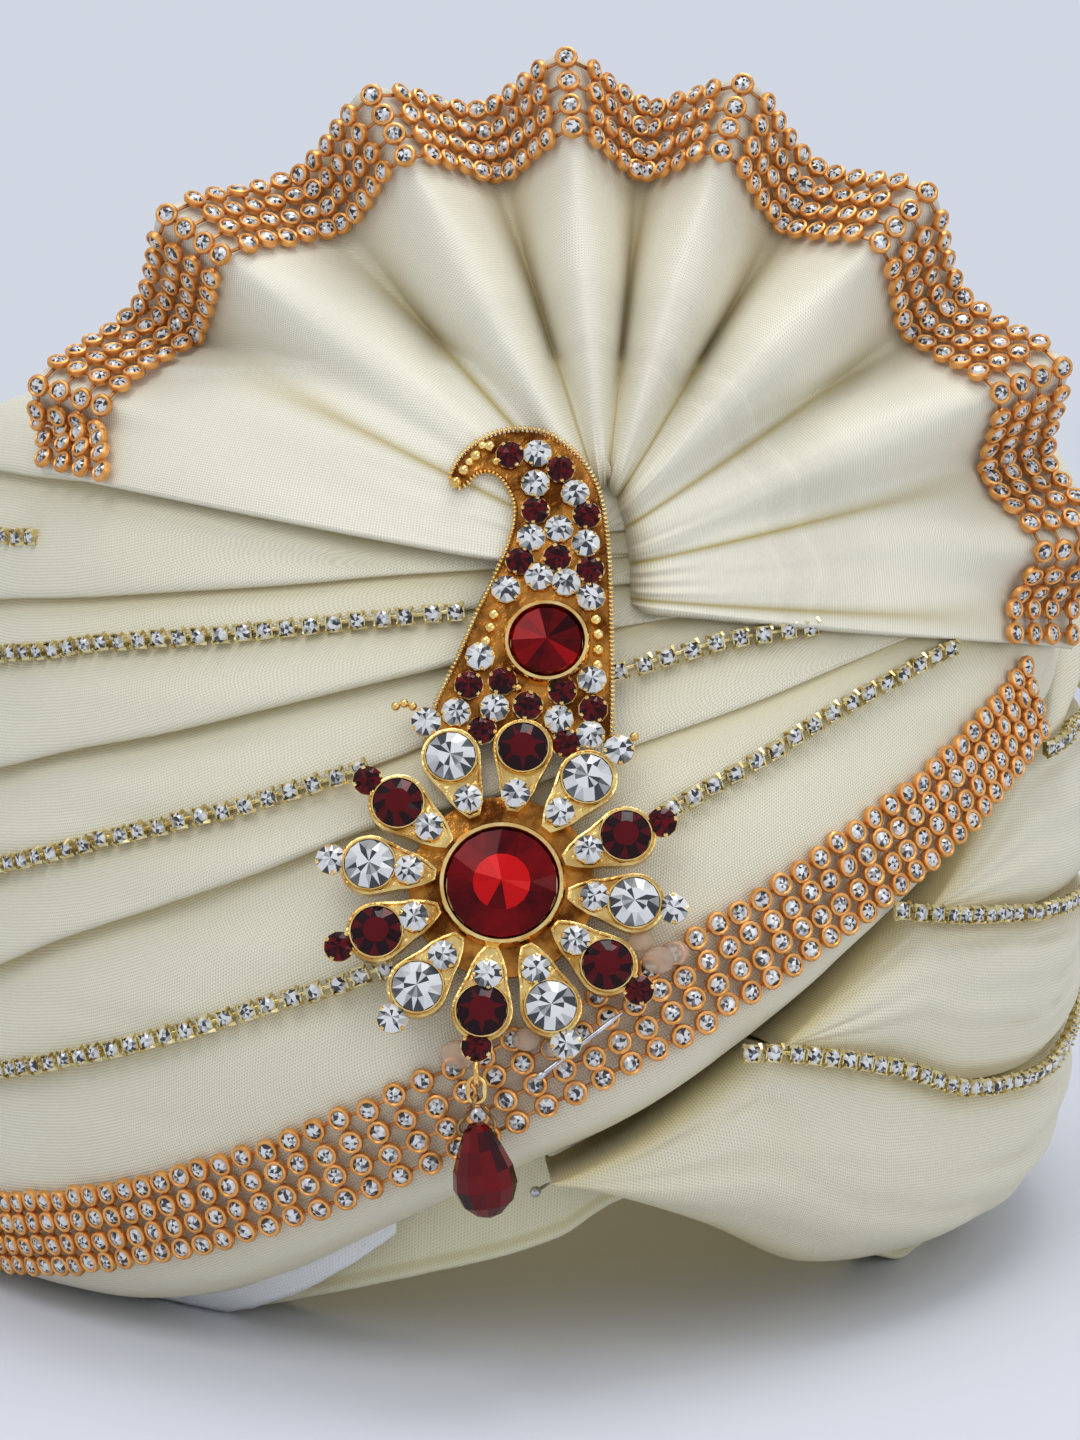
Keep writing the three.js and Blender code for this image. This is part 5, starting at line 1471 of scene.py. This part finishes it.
def make_pins():
    start, end = np.array([19.5, -20.5]), np.array([6.0, -31.0])
    run = end - start
    turn = math.atan2(run[1], run[0])
    pin = pin_form(float(np.linalg.norm(run)) - 1.2, 0.4, 0.62)
    ahead = BROOCH_ACROSS * math.cos(turn) + BROOCH_UP * math.sin(turn)
    beside = -BROOCH_ACROSS * math.sin(turn) + BROOCH_UP * math.cos(turn)
    place = BROOCH + BROOCH_ACROSS * start[0] + BROOCH_UP * start[1] - BROOCH_OUT * 0.7
    frames = [(place, beside, BROOCH_OUT, ahead, 1.0)]
    piece = set_many("brooch_needle", pin, frames, steel_wire, smooth=40)
    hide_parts("brooch_pin")
    dress = pin_form(5.4, 0.33, 0.95)
    out = unit([-0.41, -0.91, 0.0])
    side = unit(np.cross(out, [0, 0, 1.0]))
    place = np.array([4.2, -119.5, 30.1]) - out * 6.2
    frames = [(place, side, np.cross(out, side), out, 1.0)]
    piece = set_many("dress_needle", dress, frames, steel_wire, smooth=40)
    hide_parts("dress_pin")
    scrap(pin, dress)


# Lumps of dried glue on the front band

GLUE_DROPS = [
    (11.5, 71.5, 3.4, 2.3), (12.9, 72.5, 3.2, 2.0), (10.2, 74.5, 3.0, 1.8), (-3.8, 57.0, 3.2, 2.4),
    (1.3, 59.5, 3.2, 1.9), (3.4, 58.0, 3.2, 1.5),
]


def make_glue():
    drop = ball_form(1.0, 3)
    frames = []
    for angle, z, lift, size in GLUE_DROPS:
        out = unit(skin_point(angle, z, 4) - skin_point(angle, z, 0))
        across = unit(np.cross((0, 0, 1), out))
        frames.append((skin_point(angle, z, lift), across * 1.2, np.cross(out, across), out * 0.6, size))
    set_many("glue_drops", drop, frames, dried_glue, smooth=180)
    scrap(drop)


# Room, light and camera

FOCAL_LENGTH = 70.3
CAMERA_PLACE = (0.008967, -0.572145, 0.158)
CAMERA_DIP = 6
FLOOR_RADIUS = 4.0


def make_stage():
    bpy.ops.object.select_all(action="DESELECT")
    bpy.ops.mesh.primitive_circle_add(vertices=96, radius=FLOOR_RADIUS, fill_type="NGON", location=(0, 0, 0))
    floor = bpy.context.active_object
    floor.name = "floor"
    material, nodes, links, shader = finish_of("pale_floor")
    place = nodes.new("ShaderNodeTexCoord").outputs["Object"]
    faint = mottle(nodes, links, place, 9, 2)
    paint = blend_colours(nodes, links, faint, (0.66, 0.675, 0.73), (0.69, 0.705, 0.755))
    links.new(paint, shader.inputs["Base Color"])
    shader.inputs["Roughness"].default_value = 0.6
    floor.data.materials.append(material)
    floor.select_set(False)


def area_light(name, place, towards, size, power, colour=(1, 1, 1)):
    data = bpy.data.lights.new(name, "AREA")
    data.shape = "RECTANGLE"
    data.size, data.size_y = size
    data.energy = power
    data.color = colour
    lamp = bpy.data.objects.new(name, data)
    bpy.context.scene.collection.objects.link(lamp)
    lamp.location = place
    lamp.rotation_euler = (Vector(towards) - Vector(place)).to_track_quat("-Z", "Y").to_euler()


def make_light():
    bpy.context.scene.view_settings.view_transform = "Standard"
    world = bpy.data.worlds.new("studio")
    bpy.context.scene.world = world
    world.use_nodes = True
    background = world.node_tree.nodes["Background"]
    background.inputs["Color"].default_value = (0.638, 0.680, 0.760, 1)
    background.inputs["Strength"].default_value = 1.0
    area_light("key_light", (-0.45, -0.75, 1.3), (0, 0, 0.1), (0.7, 0.7), 4.1)
    area_light("top_light", (0.25, 0.05, 1.5), (0, 0, 0.1), (0.7, 0.7), 7.0)
    area_light("fill_light", (1.0, -1.0, 0.6), (0, 0, 0.1), (0.8, 0.8), 2.4)
    area_light("hollow_light", (0.004, 0.0, 0.11), (0.004, -0.01, 0), (0.07, 0.07), 0.018, (1.0, 0.90, 0.58))


def make_camera():
    data = bpy.data.cameras.new("camera")
    data.sensor_width = 36
    data.lens = FOCAL_LENGTH
    data.clip_start = 0.01
    camera = bpy.data.objects.new("camera", data)
    bpy.context.scene.collection.objects.link(camera)
    camera.location = CAMERA_PLACE
    camera.rotation_euler = (math.radians(90 - CAMERA_DIP), 0, 0)
    bpy.context.scene.camera = camera


make_camera()
make_stage()
make_light()
make_cap()
make_lining_band()
make_swath()
for roll in ROLLS:
    make_roll(*roll)
make_crown()
make_interlining()
make_fan()
make_fan_band()
make_front_band()
make_chains()
make_brooch()
make_drop()
make_pins()
make_glue()
